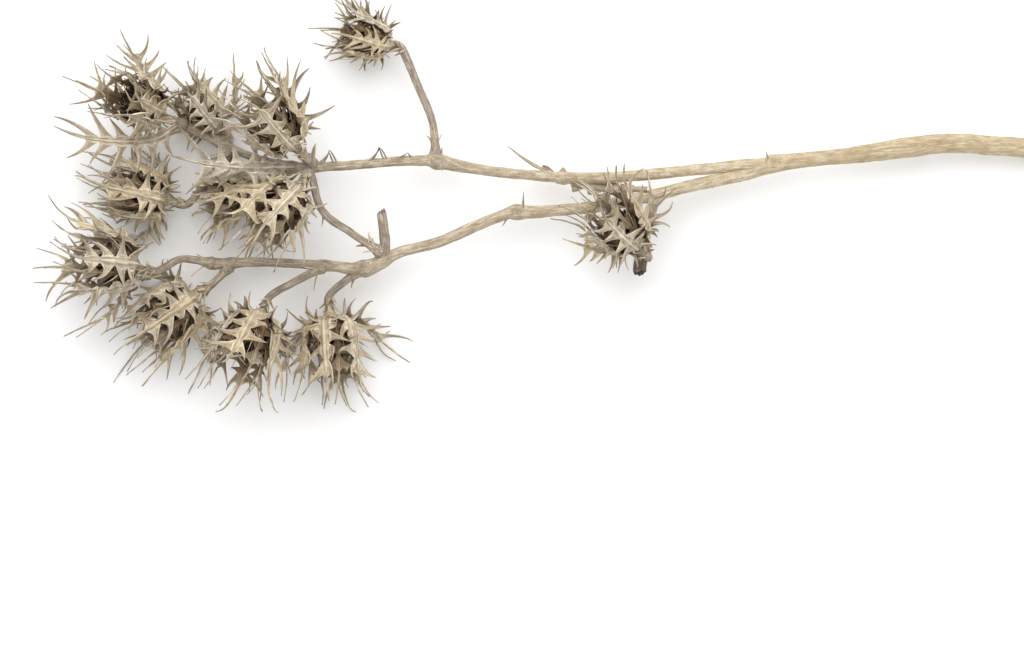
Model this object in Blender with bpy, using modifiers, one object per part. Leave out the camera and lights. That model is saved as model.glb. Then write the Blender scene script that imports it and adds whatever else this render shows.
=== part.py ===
"""Dried sea holly: one cut stem, forked and forked again, with twelve spiny flower heads.

The stem lies on a surface, as cut. X runs along it, from the flower heads (-X) to the cut end (+X),
Z is up, and the origin is at the middle of the foot of the whole plant's box.
Every size below is in millimetres, and is turned into metres where Blender needs it.
"""

import math
import random
from dataclasses import dataclass

import bmesh
import bpy
from mathutils import Vector

MM = 0.001

# The plan is laid out about the middle of the flower heads' view, and then moved to the box's middle.
PLAN_MIDDLE = Vector((44.44, 39.29, 0.0))

# The woody parts: each route is a row of (x, y, height, radius).
MAIN_STEM = (
    (233.0, 51.5, 2.7, 2.7),
    (206.0, 53.0, 4.1, 2.75),
    (176.0, 54.5, 5.7, 2.8),
    (154.0, 56.0, 6.9, 2.85),
    (134.0, 57.5, 7.9, 2.85),
    (118.0, 56.0, 8.8, 3.0),
    (101.0, 53.7, 9.7, 2.4),
    (88.0, 52.3, 10.4, 2.25),
    (79.0, 51.3, 10.9, 2.6),
    (76.0, 51.0, 11.1, 1.9),
)
UPPER_BRANCH = (
    (80.0, 51.5, 10.9, 1.9),
    (68.5, 50.7, 11.6, 1.75),
    (56.5, 49.5, 12.3, 1.65),
    (38.5, 47.7, 13.2, 1.6),
    (20.5, 46.9, 14.0, 1.55),
    (2.5, 47.9, 14.7, 1.5),
    (-12.5, 49.9, 15.2, 1.6),
    (-22.5, 51.8, 15.5, 2.2),
    (-25.5, 52.1, 15.5, 1.7),
    (-33.5, 51.9, 15.6, 1.45),
    (-45.5, 50.8, 15.4, 1.4),
    (-57.5, 50.1, 15.0, 1.4),
    (-65.0, 50.0, 14.5, 1.6),
    (-74.0, 52.0, 13.0, 1.2),
    (-84.0, 55.5, 11.5, 1.15),
    (-93.0, 60.0, 11.5, 1.3),
    (-99.0, 63.5, 12.0, 1.1),
)
LOWER_BRANCH = (
    (80.0, 51.0, 11.0, 2.0),
    (67.0, 47.4, 11.4, 1.9),
    (53.5, 44.4, 11.8, 1.85),
    (41.5, 41.4, 12.1, 1.8),
    (26.5, 38.4, 12.4, 1.75),
    (10.0, 36.9, 12.7, 1.7),
    (1.5, 36.6, 12.9, 2.1),
    (-2.0, 36.0, 13.0, 1.7),
    (-9.5, 33.0, 13.2, 1.65),
    (-21.5, 27.9, 13.4, 1.6),
    (-33.5, 24.6, 13.5, 1.6),
    (-40.0, 21.3, 13.6, 2.1),
    (-43.5, 19.8, 13.6, 2.3),
    (-48.0, 19.6, 13.4, 1.7),
    (-57.5, 20.7, 12.6, 1.45),
    (-75.5, 21.6, 11.4, 1.35),
    (-90.0, 21.0, 11.0, 1.5),
)
SHORT_STUB = (
    (-39.0, 22.0, 13.5, 1.6),
    (-38.2, 27.0, 14.4, 1.55),
    (-38.6, 32.0, 15.2, 1.45),
    (-39.2, 36.2, 15.9, 1.3),
)
LONG_STUB = (
    (44.0, 42.0, 12.3, 1.3),
    (41.6, 36.0, 12.6, 1.5),
    (39.6, 29.0, 13.6, 1.75),
    (38.3, 18.9, 14.8, 1.9),
)
MAIN_SPACING, MAIN_SIDES = 12.0, 8
BRANCH_SPACING, BRANCH_SIDES = 6.0, 6
STALK_SPACING, STALK_RADIUS = 4.5, 1.15
STALK_APPROACH = 6.0
SEAT_GAP = 0.3

# Spikes on the wood: the foot (x, y, height), the way the spike points, and its length.
THORN_RADIUS = 0.75
THORNS = (
    ((-53.4, 50.8, 16.2), (-0.35, 0.90, 0.25), 4.6),
    ((-55.0, 50.6, 16.0), (0.30, 0.92, 0.10), 4.0),
    ((-38.4, 52.0, 16.2), (-0.30, 0.90, 0.30), 4.2),
    ((-40.0, 51.8, 16.0), (0.35, 0.90, 0.15), 4.2),
    ((-31.0, 52.2, 16.2), (0.10, 0.80, 0.55), 2.6),
    ((-25.0, 52.8, 16.5), (-0.40, 0.85, 0.30), 4.2),
    ((-20.5, 52.6, 16.2), (0.55, 0.80, 0.25), 4.4),
    ((-21.5, 50.4, 15.0), (0.30, -0.80, -0.40), 3.4),
    ((3.2, 37.0, 14.0), (0.05, 0.95, 0.30), 6.0),
    ((-1.0, 35.5, 12.6), (-0.50, -0.85, -0.10), 3.8),
    ((-56.2, 36.6, 21.1), (-0.15, -0.85, -0.50), 5.2),
    ((-58.1, 38.8, 21.9), (-0.60, -0.70, -0.35), 4.4),
    ((77.0, 52.0, 12.0), (-0.20, 0.75, 0.60), 3.6),
    ((62.0, 46.0, 10.4), (-0.55, -0.70, -0.45), 3.2),
)


@dataclass(frozen=True)
class Head:
    """A flower head: its middle, the way it faces, how big it is, and where its stalk runs.

    The bracts are counted round from the one nearest the sky, and those in spreading lie open.
    """

    centre: tuple
    facing: tuple
    size: float
    stalk: tuple
    spreading: tuple = (2, 4)


HEADS = (
    Head(
        (-43.0, 88.8, 11.2),
        (-0.92, 0.28, 0.24),
        0.70,
        ((-22.7, 52.1, 15.5), (-24.0, 64.0, 14.6), (-28.5, 75.0, 12.4)),
        (),
    ),
    Head((-112.2, 69.0, 25.2), (-0.58, 0.28, 0.77), 0.98, ((-97.5, 62.5, 11.9),)),
    Head((-70.5, 62.5, 27.0), (-0.60, 0.70, 0.35), 1.0, ((-59.5, 50.2, 15.0), (-61.0, 53.0, 18.0)), ()),
    Head((-93.0, 67.0, 11.3), (-0.62, 0.64, 0.25), 0.82, ((-88.0, 57.5, 11.5),)),
    Head((-83.0, 42.0, 11.2), (-0.85, -0.35, 0.15), 0.92, ((-66.0, 50.0, 14.4),)),
    Head((-112.0, 42.0, 11.8), (-0.93, 0.20, 0.10), 0.98, ((-85.0, 56.0, 11.5), (-92.5, 45.0, 10.4))),
    Head(
        (-69.0, 37.5, 28.5),
        (-0.58, -0.72, 0.35),
        0.98,
        ((-38.6, 24.0, 14.2), (-48.6, 30.6, 18.5), (-57.0, 37.2, 21.5)),
    ),
    Head((-121.0, 20.5, 22.0), (-0.90, 0.10, 0.35), 1.05, ((-89.0, 21.0, 11.0), (-99.0, 22.5, 14.0))),
    Head((-102.0, 5.5, 12.2), (-0.75, -0.60, 0.10), 1.05, ((-84.0, 21.2, 11.1),)),
    Head((-78.5, -2.0, 23.0), (-0.35, -0.80, 0.40), 1.05, ((-56.0, 20.6, 12.7), (-65.5, 15.5, 15.2))),
    Head((-54.0, -3.0, 11.1), (0.05, -0.95, 0.15), 1.0, ((-45.0, 19.8, 13.5),)),
    Head((32.4, 32.5, 25.0), (-0.60, 0.68, 0.42), 0.95, ((39.2, 25.5, 14.0),)),
)
HEAD_SEED = 220
BRACTS_PER_HEAD = 6
CAGE_CENTRE = 9.0
CALYX_HEIGHT, CALYX_FOOT_RADIUS, CALYX_TOP_RADIUS, CALYX_SIDES = 2.6, 1.7, 3.4, 8
SEED_RADIUS, SEED_HALF_HEIGHT, SEED_RELIEF = 5.6, 5.4, 0.06
SEED_COLUMNS, SEED_ROWS = 10, 6

# A bract's centre line, seen from the side of the head: (distance from the axis, height) at the
# four points of a Bezier curve.
UPRIGHT_BRACT = ((2.0, 1.3), (12.0, -1.0), (7.5, 16.0), (12.5, 27.0))
SPREADING_BRACT = ((2.0, 1.2), (9.0, -2.5), (14.5, 5.0), (20.0, 14.0))

# The long leaves that stand below a head: the row of points of the centre line, and how long
# their side spines are.
LEAVES = (
    ((-100.5, 62.5, 15.0), (-107, 58.5, 20.0), (-118, 57.8, 22.5), (-128, 59.0, 22.0), (-137, 61.5, 20.5)),
    ((-65.5, 50.0, 16.9), (-71, 50.0, 22.5), (-80, 50.0, 26.0), (-91, 51.0, 26.5), (-103, 54.0, 24.5)),
    ((40.6, 43.4, 13.8), (30, 43.8, 12.0), (18, 46.0, 9.3), (8, 50.0, 8.6), (-1, 55.0, 9.0)),
)
LEAF_SPINES = (1.2, 1.3, 0.5)
LEAF_SEED = 200
BLADE_THICKNESS = 0.72


@dataclass(frozen=True)
class Plate:
    """How a bract or a leaf is cut: its widths, and its pairs of spines from the root to the tip."""

    root: float
    belly: float
    neck: float
    pairs: int
    first_spine: float
    spine_foot: float
    reach: tuple
    lean: tuple
    rise: tuple


BRACT = Plate(2.2, 5.6, 2.3, 5, 0.14, 0.055, reach=(4.8, 9.0), lean=(0.1, 1.1), rise=(1.15, 0.7))
LEAF = Plate(1.8, 4.6, 1.7, 6, 0.12, 0.045, reach=(6.0, 10.0), lean=(0.1, 0.9), rise=(0.1, 0.3))
LAST_SPINE = 0.68
WIDEST = 0.33

# How near a plane a bract may come, and where it starts to bend away from it: the surface that
# the plant lies on, and the plane between two heads. Then the room it leaves round wood.
SURFACE_MARGIN, SURFACE_BEND = 0.18, 1.2
NEIGHBOUR_MARGIN, NEIGHBOUR_BEND, NEIGHBOUR_REACH = 0.75, 3.0, 60.0
PLATE_ROOM, SPINE_ROOM, LEAF_ROOM = 2.9, 0.8, 1.9

# Linear colours and roughness of the dry plant.
FINISHES = {
    "stem": ((0.50, 0.40, 0.26), 0.75),
    "bracts": ((0.43, 0.38, 0.31), 0.80),
    "leaf": ((0.42, 0.38, 0.32), 0.80),
    "seed_head": ((0.055, 0.035, 0.022), 0.95),
}
SHARP_EDGE = math.radians(50)


def at(place):
    """A point given in millimetres on the plan, in metres from the origin."""
    return (Vector(place) - PLAN_MIDDLE) * MM


def bezier(points, t):
    s = 1.0 - t
    weights = (s**3, 3 * s * s * t, 3 * s * t * t, t**3)
    return [sum(w * p[k] for w, p in zip(weights, points)) for k in range(len(points[0]))]


def smooth_route(knots, spacing_mm):
    """Points along the Catmull-Rom curve through the knots, whose last value is a radius."""
    vectors = [Vector(knot) for knot in knots]
    ends = [vectors[0] * 2 - vectors[1]] + vectors + [vectors[-1] * 2 - vectors[-2]]
    route = []
    for i in range(1, len(ends) - 2):
        a, b, c, d = ends[i - 1 : i + 3]
        linear = c - a
        square = 2 * a - 5 * b + 4 * c - d
        cube = 3 * b - 3 * c + d - a
        steps = max(1, round((c.xyz - b.xyz).length / spacing_mm))
        for k in range(steps):
            t = k / steps
            route.append(0.5 * (2 * b + linear * t + square * t**2 + cube * t**3))
    return route + [vectors[-1]]


def along_route(knots, t):
    """The place a share t of the way along the smooth curve through the knots."""
    fine = smooth_route([(*knot, 0.0) for knot in knots], 0.5)
    return at(fine[round(t * (len(fine) - 1))][:3])


def segments(route):
    """The pieces of a route, as (start, end, radius) in metres."""
    places = [at(point[:3]) for point in route]
    return [(a, b, point[3] * MM) for a, b, point in zip(places, places[1:], route)]


def segment_distance(a, b, c, d):
    """The least distance between the segments a-b and c-d."""
    u, v, w = b - a, d - c, a - c
    uu, uv, vv, uw, vw = u.dot(u), u.dot(v), v.dot(v), u.dot(w), v.dot(w)
    spread = uu * vv - uv * uv
    s = min(1.0, max(0.0, (uv * vw - vv * uw) / spread)) if spread > 1e-18 else 0.0
    t = min(1.0, max(0.0, (uv * s + vw) / vv))
    s = min(1.0, max(0.0, (uv * t - uw) / uu))
    return (w + u * s - v * t).length


def finish(kind):
    """The material of one kind of piece, made once."""
    name = f"dry_{kind}"
    if name in bpy.data.materials:
        return bpy.data.materials[name]
    colour, roughness = FINISHES[kind]
    material = bpy.data.materials.new(name)
    material.use_nodes = True
    shader = material.node_tree.nodes["Principled BSDF"]
    shader.inputs["Base Color"].default_value = (*colour, 1.0)
    shader.inputs["Roughness"].default_value = roughness
    shader.inputs["Metallic"].default_value = 0.0
    return material


def new_object(name, mesh, collection):
    made = bpy.data.objects.new(name, mesh)
    collection.objects.link(made)
    return made


def mesh_object(name, shape, collection):
    """An object from a bmesh, which is freed."""
    mesh = bpy.data.meshes.new(name)
    shape.to_mesh(mesh)
    shape.free()
    return new_object(name, mesh, collection)


def evaluated_mesh(source):
    depsgraph = bpy.context.evaluated_depsgraph_get()
    return bpy.data.meshes.new_from_object(source.evaluated_get(depsgraph))


def discard(source):
    data = source.data
    bpy.data.objects.remove(source)
    if isinstance(data, bpy.types.Mesh):
        bpy.data.meshes.remove(data)
    else:
        bpy.data.curves.remove(data)


def aim(shape, axis, place):
    """Turns a shape that was made along Z to point along an axis, and moves it to its place."""
    turn = axis.to_track_quat("Z", "Y").to_matrix().to_4x4()
    bmesh.ops.transform(shape, matrix=turn, verts=shape.verts)
    bmesh.ops.translate(shape, verts=shape.verts, vec=place)


def join(name, pieces, collection):
    """One closed body from pieces that run into each other."""
    repeats = bpy.data.collections.new("repeats")
    bpy.context.scene.collection.children.link(repeats)
    for piece in pieces[1:]:
        repeats.objects.link(piece)
        collection.objects.unlink(piece)
    union = pieces[0].modifiers.new("Union", "BOOLEAN")
    union.operation = "UNION"
    union.operand_type = "COLLECTION"
    union.collection = repeats
    union.solver = "MANIFOLD"
    joined = new_object(name, evaluated_mesh(pieces[0]), collection)
    joined.data.name = name
    for piece in pieces:
        discard(piece)
    bpy.data.collections.remove(repeats)
    return joined


def surface_cutter(collection):
    """A slab whose top is the surface that the plant lies on."""
    length, width, thickness = 0.6, 0.4, 0.02
    slab = bmesh.new()
    bmesh.ops.create_cube(slab, size=1.0)
    bmesh.ops.scale(slab, verts=slab.verts, vec=(length, width, thickness))
    bmesh.ops.translate(slab, verts=slab.verts, vec=(0.0, 0.0, -thickness / 2))
    cutter = mesh_object("surface_cutter", slab, collection)
    cutter.hide_render = True
    cutter.display_type = "WIRE"
    return cutter


def rest_on_surface(solid, cutter):
    """Cuts the lowest tips flat where they lie on the surface."""
    flat = solid.modifiers.new("Flat", "BOOLEAN")
    flat.operation = "DIFFERENCE"
    flat.object = cutter
    flat.solver = "MANIFOLD"


def tube(route, sides, collection):
    """A closed wooden tube along a route of (x, y, height, radius) points."""
    curve = bpy.data.curves.new("tube", "CURVE")
    curve.dimensions = "3D"
    curve.bevel_depth = 1.0 * MM
    curve.bevel_resolution = sides // 2 - 2
    curve.use_fill_caps = True
    spline = curve.splines.new("POLY")
    spline.points.add(len(route) - 1)
    for point, knot in zip(spline.points, route):
        point.co = (*at(knot[:3]), 1.0)
        point.radius = knot[3]
    source = new_object("tube", curve, collection)
    welded = bmesh.new()
    mesh = evaluated_mesh(source)
    discard(source)
    welded.from_mesh(mesh)
    bpy.data.meshes.remove(mesh)
    bmesh.ops.remove_doubles(welded, verts=welded.verts, dist=0.01 * MM)
    return mesh_object("tube", welded, collection)


def thorn(foot, way, length_mm, collection):
    """A three-sided spike that grows from the wood."""
    spike = bmesh.new()
    length, radius = length_mm * MM, THORN_RADIUS * MM
    bmesh.ops.create_cone(spike, cap_ends=True, segments=3, radius1=radius, radius2=0.0, depth=length)
    axis = Vector(way).normalized()
    aim(spike, axis, at(foot) + axis * length / 2)
    return mesh_object("thorn", spike, collection)


def stalk_route(head):
    """A head's stalk: from the wood, through its points, and straight into the foot of the calyx."""
    axis = Vector(head.facing).normalized()
    base = Vector(head.centre) - axis * CAGE_CENTRE * head.size
    ends = [base - axis * STALK_APPROACH * head.size, base - axis * SEAT_GAP]
    return smooth_route([(*knot, STALK_RADIUS) for knot in [*head.stalk, *ends]], STALK_SPACING)


def stem(branches, stalks, collection):
    """All the wood: the main stem, its two branches, the cut stubs, the stalks and the thorns."""
    pieces = [tube(branches[0], MAIN_SIDES, collection)]
    pieces += [tube(route, BRANCH_SIDES, collection) for route in [*branches[1:], *stalks]]
    pieces += [thorn(foot, way, length, collection) for foot, way, length in THORNS]
    wood = join("stem", pieces, collection)
    wood.data.shade_smooth()
    wood.data.set_sharp_from_angle(angle=SHARP_EDGE)
    wood.data.materials.append(finish("stem"))


class Surroundings:
    """What a flower head or leaf has to stay clear of: planes towards its neighbours, and wood."""

    def __init__(self, planes, wood):
        self.planes = planes
        self.wood = wood

    def bent_clear(self, point):
        """The point, drawn back softly where it would near a plane, and never left past one."""
        for place, normal, margin, start in self.planes:
            depth = (point - place).dot(normal)
            if depth < start:
                room = start - margin
                point = point + normal * (margin + room * math.exp((depth - start) / room) - depth)
        for _ in range(3):
            for place, normal, margin, _ in self.planes:
                point = point + normal * max(0.0, margin - (point - place).dot(normal))
        return point

    def hits_wood(self, a, b, room_mm):
        """Whether the line from a to b comes nearer to a stem than room_mm from its surface."""
        return any(segment_distance(a, b, c, d) < radius + room_mm * MM for c, d, radius in self.wood)


def surface_plane():
    return Vector((0.0, 0.0, 0.0)), Vector((0.0, 0.0, 1.0)), SURFACE_MARGIN * MM, SURFACE_BEND * MM


def neighbour_planes(own):
    """The surface, and a plane between a head and each neighbour, which neither may pass."""
    planes = [surface_plane()]
    for other in HEADS:
        gap = Vector(own.centre) - Vector(other.centre)
        if other is own or gap.length > NEIGHBOUR_REACH:
            continue
        place = at(own.centre) - gap * MM * own.size / (own.size + other.size)
        planes.append((place, gap.normalized(), NEIGHBOUR_MARGIN * MM, NEIGHBOUR_BEND * MM))
    return planes


def stations(plate):
    """Where along a plate its corners lie: each pair of spines has a narrow foot, with a bay after it."""
    bay = (LAST_SPINE - plate.first_spine) / (plate.pairs - 1)
    feet = [plate.first_spine + bay * k for k in range(plate.pairs)]
    return [0.0] + [t for foot in feet for t in (foot, foot + plate.spine_foot)] + [1.0]


def plate_widths(plate, size):
    """Half widths along a plate: narrow at its root, widest a third of the way, then tapering
    to the neck, from which the last point is drawn out.
    """
    widths = []
    belly = plate.belly * size
    corners = stations(plate)[:-1]
    for t in corners:
        if t < WIDEST:
            full = plate.root + (belly - plate.root) * math.sin(math.pi / 2 * t / WIDEST)
        else:
            full = belly + (plate.neck - belly) * (t - WIDEST) / (corners[-1] - WIDEST)
        widths.append(0.5 * full * MM)
    return widths


def side_spines(line, faces, plate, size, rng):
    """Pairs of spines on a plate's two edges, longer and leaning more towards its point."""
    spines = []
    feet = range(1, len(line) - 2, 2)
    for i in feet:
        t = i / feet[-1]
        reach, lean, rise = (
            near + (far - near) * t for near, far in (plate.reach, plate.lean, plate.rise)
        )
        along = (line[i + 1] - line[i]).normalized()
        for side in (-1, 1):
            across = along.cross(faces[i]).normalized() * side
            sideways = across * rng.uniform(0.85, 1.15)
            forward = along * lean * rng.uniform(0.7, 1.3)
            outward = faces[i] * rise * rng.uniform(0.4, 1.5)
            length = reach * size * rng.uniform(0.75, 1.3) * MM
            spines.append((i, side, (sideways + forward + outward).normalized() * length))
    return spines


def blade(line, faces, half_widths, spines, surroundings, collection):
    """A bract or leaf: a narrow plate along a centre line, with side spines, drawn out to a point.

    The open sheet is made of triangles, and Solidify gives it its thickness.
    """
    sheet = bmesh.new()
    edges = {-1: [], 1: []}
    last = len(line) - 1
    for i in range(last):
        along = (line[i + 1] - line[max(i - 1, 0)]).normalized()
        across = along.cross(faces[i]).normalized()
        for side in (-1, 1):
            corner = line[i] + across * side * half_widths[i]
            edges[side].append(sheet.verts.new(surroundings.bent_clear(corner)))
    left, right = edges[-1], edges[1]
    for i in range(last - 1):
        sheet.faces.new((left[i], right[i], right[i + 1]))
        sheet.faces.new((left[i], right[i + 1], left[i + 1]))
    sheet.faces.new((left[-1], right[-1], sheet.verts.new(surroundings.bent_clear(line[last]))))
    for i, side, way in spines:
        rows = edges[side]
        foot = (rows[i].co + rows[i + 1].co) / 2
        point = surroundings.bent_clear(foot + way)
        if not surroundings.hits_wood(foot, point, SPINE_ROOM):
            pair = (rows[i], rows[i + 1]) if side < 0 else (rows[i + 1], rows[i])
            sheet.faces.new((*pair, sheet.verts.new(point)))
    source = mesh_object("sheet", sheet, collection)
    thicken = source.modifiers.new("Solidify", "SOLIDIFY")
    thicken.thickness = BLADE_THICKNESS * MM
    thicken.offset = 0.0
    solid = new_object("blade", evaluated_mesh(source), collection)
    discard(source)
    return solid


def bract(base, frame, turn, profile, size, surroundings, collection, rng):
    """One bract of a head, turned round the head's axis, or None where wood is in its way."""
    axis, skyward, level = frame
    out = skyward * math.cos(turn) + level * math.sin(turn)
    line = []
    for t in stations(BRACT):
        distance, height = bezier(profile, t)
        line.append(base + (out * distance + axis * height) * size * MM)
    inner_faces = []
    for a, b in zip(line, line[1:]):
        inner_faces.append(axis.cross(out).cross((b - a).normalized()).normalized())
    bent = [surroundings.bent_clear(place) for place in line]
    if any(surroundings.hits_wood(a, b, PLATE_ROOM * size) for a, b in zip(bent[1:], bent[2:])):
        return None
    spines = side_spines(line, inner_faces, BRACT, size, rng)
    return blade(line, inner_faces, plate_widths(BRACT, size), spines, surroundings, collection)


def head_frame(facing):
    """A head's axis, the way square to it that looks up most, and the third way."""
    axis = Vector(facing).normalized()
    sky = Vector((0.0, 0.0, 1.0))
    skyward = (sky - axis * axis.dot(sky)).normalized()
    return axis, skyward, axis.cross(skyward)


def calyx(base, axis, size, collection):
    """The small cup that the bracts grow from, on top of the stalk."""
    cup = bmesh.new()
    bmesh.ops.create_cone(
        cup,
        cap_ends=True,
        segments=CALYX_SIDES,
        radius1=CALYX_FOOT_RADIUS * MM,
        radius2=CALYX_TOP_RADIUS * size * MM,
        depth=CALYX_HEIGHT * MM,
    )
    aim(cup, axis, base + axis * CALYX_HEIGHT / 2 * MM)
    return mesh_object("calyx", cup, collection)


def bract_cup(number, head, base, frame, surroundings, collection):
    """A head's cup of spiny bracts, grown together at the calyx.

    A bract that would meet wood is turned a little to one side or the other, up to a share of the
    step between two bracts, and left out where none of these turns is free.
    """
    rng = random.Random(HEAD_SEED + number)
    pieces = [calyx(base, frame[0], head.size, collection)]
    phase = rng.uniform(-0.3, 0.3)
    for k in range(BRACTS_PER_HEAD):
        profile = SPREADING_BRACT if k in head.spreading else UPRIGHT_BRACT
        size = head.size * rng.uniform(0.93, 1.1)
        for nudge in (0.0, 0.2, -0.2, 0.4, -0.4):
            turn = phase + math.tau * (k + nudge) / BRACTS_PER_HEAD + rng.uniform(-0.08, 0.08)
            piece = bract(base, frame, turn, profile, size, surroundings, collection, rng)
            if piece:
                pieces.append(piece)
                break
    cup = join(f"bracts_{number:02d}", pieces, collection)
    cup.data.materials.clear()
    cup.data.materials.append(finish("bracts"))
    return cup


def seed_head(number, base, axis, size, collection):
    """The dry brown seed head: an egg whose surface is raised and sunk in turn, like its florets."""
    egg = bmesh.new()
    bmesh.ops.create_uvsphere(egg, u_segments=SEED_COLUMNS, v_segments=SEED_ROWS, radius=1.0)
    stretch = Vector((SEED_RADIUS, SEED_RADIUS, SEED_HALF_HEIGHT)) * size * MM
    for vertex in egg.verts:
        x, y, z = vertex.co
        column = round(math.atan2(y, x) / math.tau * SEED_COLUMNS)
        row = round(math.acos(max(-1.0, min(1.0, z))) / math.pi * SEED_ROWS)
        pole = row in (0, SEED_ROWS)
        relief = 1.0 if pole or (column + row) % 2 == 0 else 1.0 - 2 * SEED_RELIEF
        vertex.co = Vector((x * stretch.x, y * stretch.y, z * stretch.z)) * relief
    rise = (CALYX_HEIGHT + SEAT_GAP + SEED_HALF_HEIGHT * size) * MM
    aim(egg, axis, base + axis * rise)
    made = mesh_object(f"seed_head_{number:02d}", egg, collection)
    made.data.shade_smooth()
    made.data.materials.append(finish("seed_head"))


def head_core(head):
    """The middle of a head as a thick line, which no leaf may reach."""
    axis = Vector(head.facing).normalized() * CAGE_CENTRE * head.size
    foot = Vector(head.centre) - axis
    tip = Vector(head.centre) + 0.6 * axis
    return at(foot), at(tip), 6.0 * head.size * MM


def flower_head(number, head, surface, surroundings, collection):
    """A cup of bracts, cut flat where it touches the surface, and the seed head inside it."""
    frame = head_frame(head.facing)
    base = at(head.centre) - frame[0] * CAGE_CENTRE * head.size * MM
    cup = bract_cup(number, head, base, frame, surroundings, collection)
    rest_on_surface(cup, surface)
    seed_head(number, base, frame[0], head.size, collection)


def long_leaf(number, points, spine_size, surroundings, collection):
    """A long spiny leaf on the wood. What it gives back is where the heads have to stay clear of it."""
    rng = random.Random(LEAF_SEED + number)
    line = [along_route(points, t) for t in stations(LEAF)]
    faces = []
    for a, b in zip(line, line[1:]):
        along = (b - a).normalized()
        around = Vector((0.0, 0.0, 1.0)).cross(along).normalized()
        faces.append(along.cross(around).normalized())
    spines = side_spines(line, faces, LEAF, spine_size, rng)
    leaf = blade(line, faces, plate_widths(LEAF, 1.0), spines, surroundings, collection)
    leaf.name = f"leaf_{number}"
    leaf.data.name = leaf.name
    leaf.data.materials.append(finish("leaf"))
    plates = [(a, b, LEAF_ROOM * MM) for a, b in zip(line, line[1:])]
    feet = [((line[i] + line[i + 1]) / 2, way) for i, _, way in spines]
    return plates + [(foot, foot + way, 0.5 * MM) for foot, way in feet]


def main():
    for old in list(bpy.data.objects):
        bpy.data.objects.remove(old)
    plant = bpy.data.collections.new("dried_sea_holly")
    cutters = bpy.data.collections.new("cutters")
    for collection in (plant, cutters):
        bpy.context.scene.collection.children.link(collection)
    surface = surface_cutter(cutters)
    branches = [smooth_route(MAIN_STEM, MAIN_SPACING)]
    for route in (UPPER_BRANCH, LOWER_BRANCH, SHORT_STUB, LONG_STUB):
        branches.append(smooth_route(route, BRANCH_SPACING))
    stalks = [stalk_route(head) for head in HEADS]
    stem(branches, stalks, plant)
    branch_wood = [piece for route in branches for piece in segments(route)]
    stalk_wood = [segments(route) for route in stalks]
    cores = [head_core(head) for head in HEADS]
    beside_leaves = Surroundings([surface_plane()], branch_wood + sum(stalk_wood, []) + cores)
    leaves = []
    for number, (points, spine_size) in enumerate(zip(LEAVES, LEAF_SPINES), 1):
        leaves += long_leaf(number, points, spine_size, beside_leaves, plant)
    for number, head in enumerate(HEADS, 1):
        near_wood = branch_wood + leaves
        for other, stalk in enumerate(stalk_wood, 1):
            near_wood += stalk if other != number else stalk[:-2]
        flower_head(number, head, surface, Surroundings(neighbour_planes(head), near_wood), plant)


main()
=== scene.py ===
"""Looks of the dried sea holly: finer bracts, seed heads, leaves and wood in place of the solids.

The layout is that of the solids, in millimetres on the plan, with the same random draws, so each finer
piece grows where its solid is. Only the spikes beside the first stalk stand a little differently.
The camera looks straight down on the flower heads.
"""

import math
import random
from dataclasses import dataclass, replace

import bpy
import numpy as np
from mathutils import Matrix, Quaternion, Vector, noise

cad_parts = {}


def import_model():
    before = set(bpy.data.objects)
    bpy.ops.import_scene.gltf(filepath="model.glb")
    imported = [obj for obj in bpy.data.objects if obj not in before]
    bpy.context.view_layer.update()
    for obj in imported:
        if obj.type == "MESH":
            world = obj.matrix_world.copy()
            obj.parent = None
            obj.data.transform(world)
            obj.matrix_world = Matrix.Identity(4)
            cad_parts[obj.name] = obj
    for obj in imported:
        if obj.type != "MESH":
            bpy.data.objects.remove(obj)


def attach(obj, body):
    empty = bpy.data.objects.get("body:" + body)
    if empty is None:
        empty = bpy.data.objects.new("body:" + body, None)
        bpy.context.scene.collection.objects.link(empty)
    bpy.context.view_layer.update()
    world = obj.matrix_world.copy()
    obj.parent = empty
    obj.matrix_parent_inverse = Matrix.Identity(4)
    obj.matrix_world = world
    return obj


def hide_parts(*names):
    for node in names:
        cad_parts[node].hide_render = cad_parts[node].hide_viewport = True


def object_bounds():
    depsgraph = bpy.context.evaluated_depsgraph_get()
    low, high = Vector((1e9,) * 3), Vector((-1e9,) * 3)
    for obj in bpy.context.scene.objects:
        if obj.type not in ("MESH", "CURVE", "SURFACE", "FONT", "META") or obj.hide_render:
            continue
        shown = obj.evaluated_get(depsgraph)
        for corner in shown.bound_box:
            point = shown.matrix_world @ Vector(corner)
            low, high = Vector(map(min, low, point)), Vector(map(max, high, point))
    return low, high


MM = 0.001
PLAN_MIDDLE = Vector((44.44, 39.29, 0.0))

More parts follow.
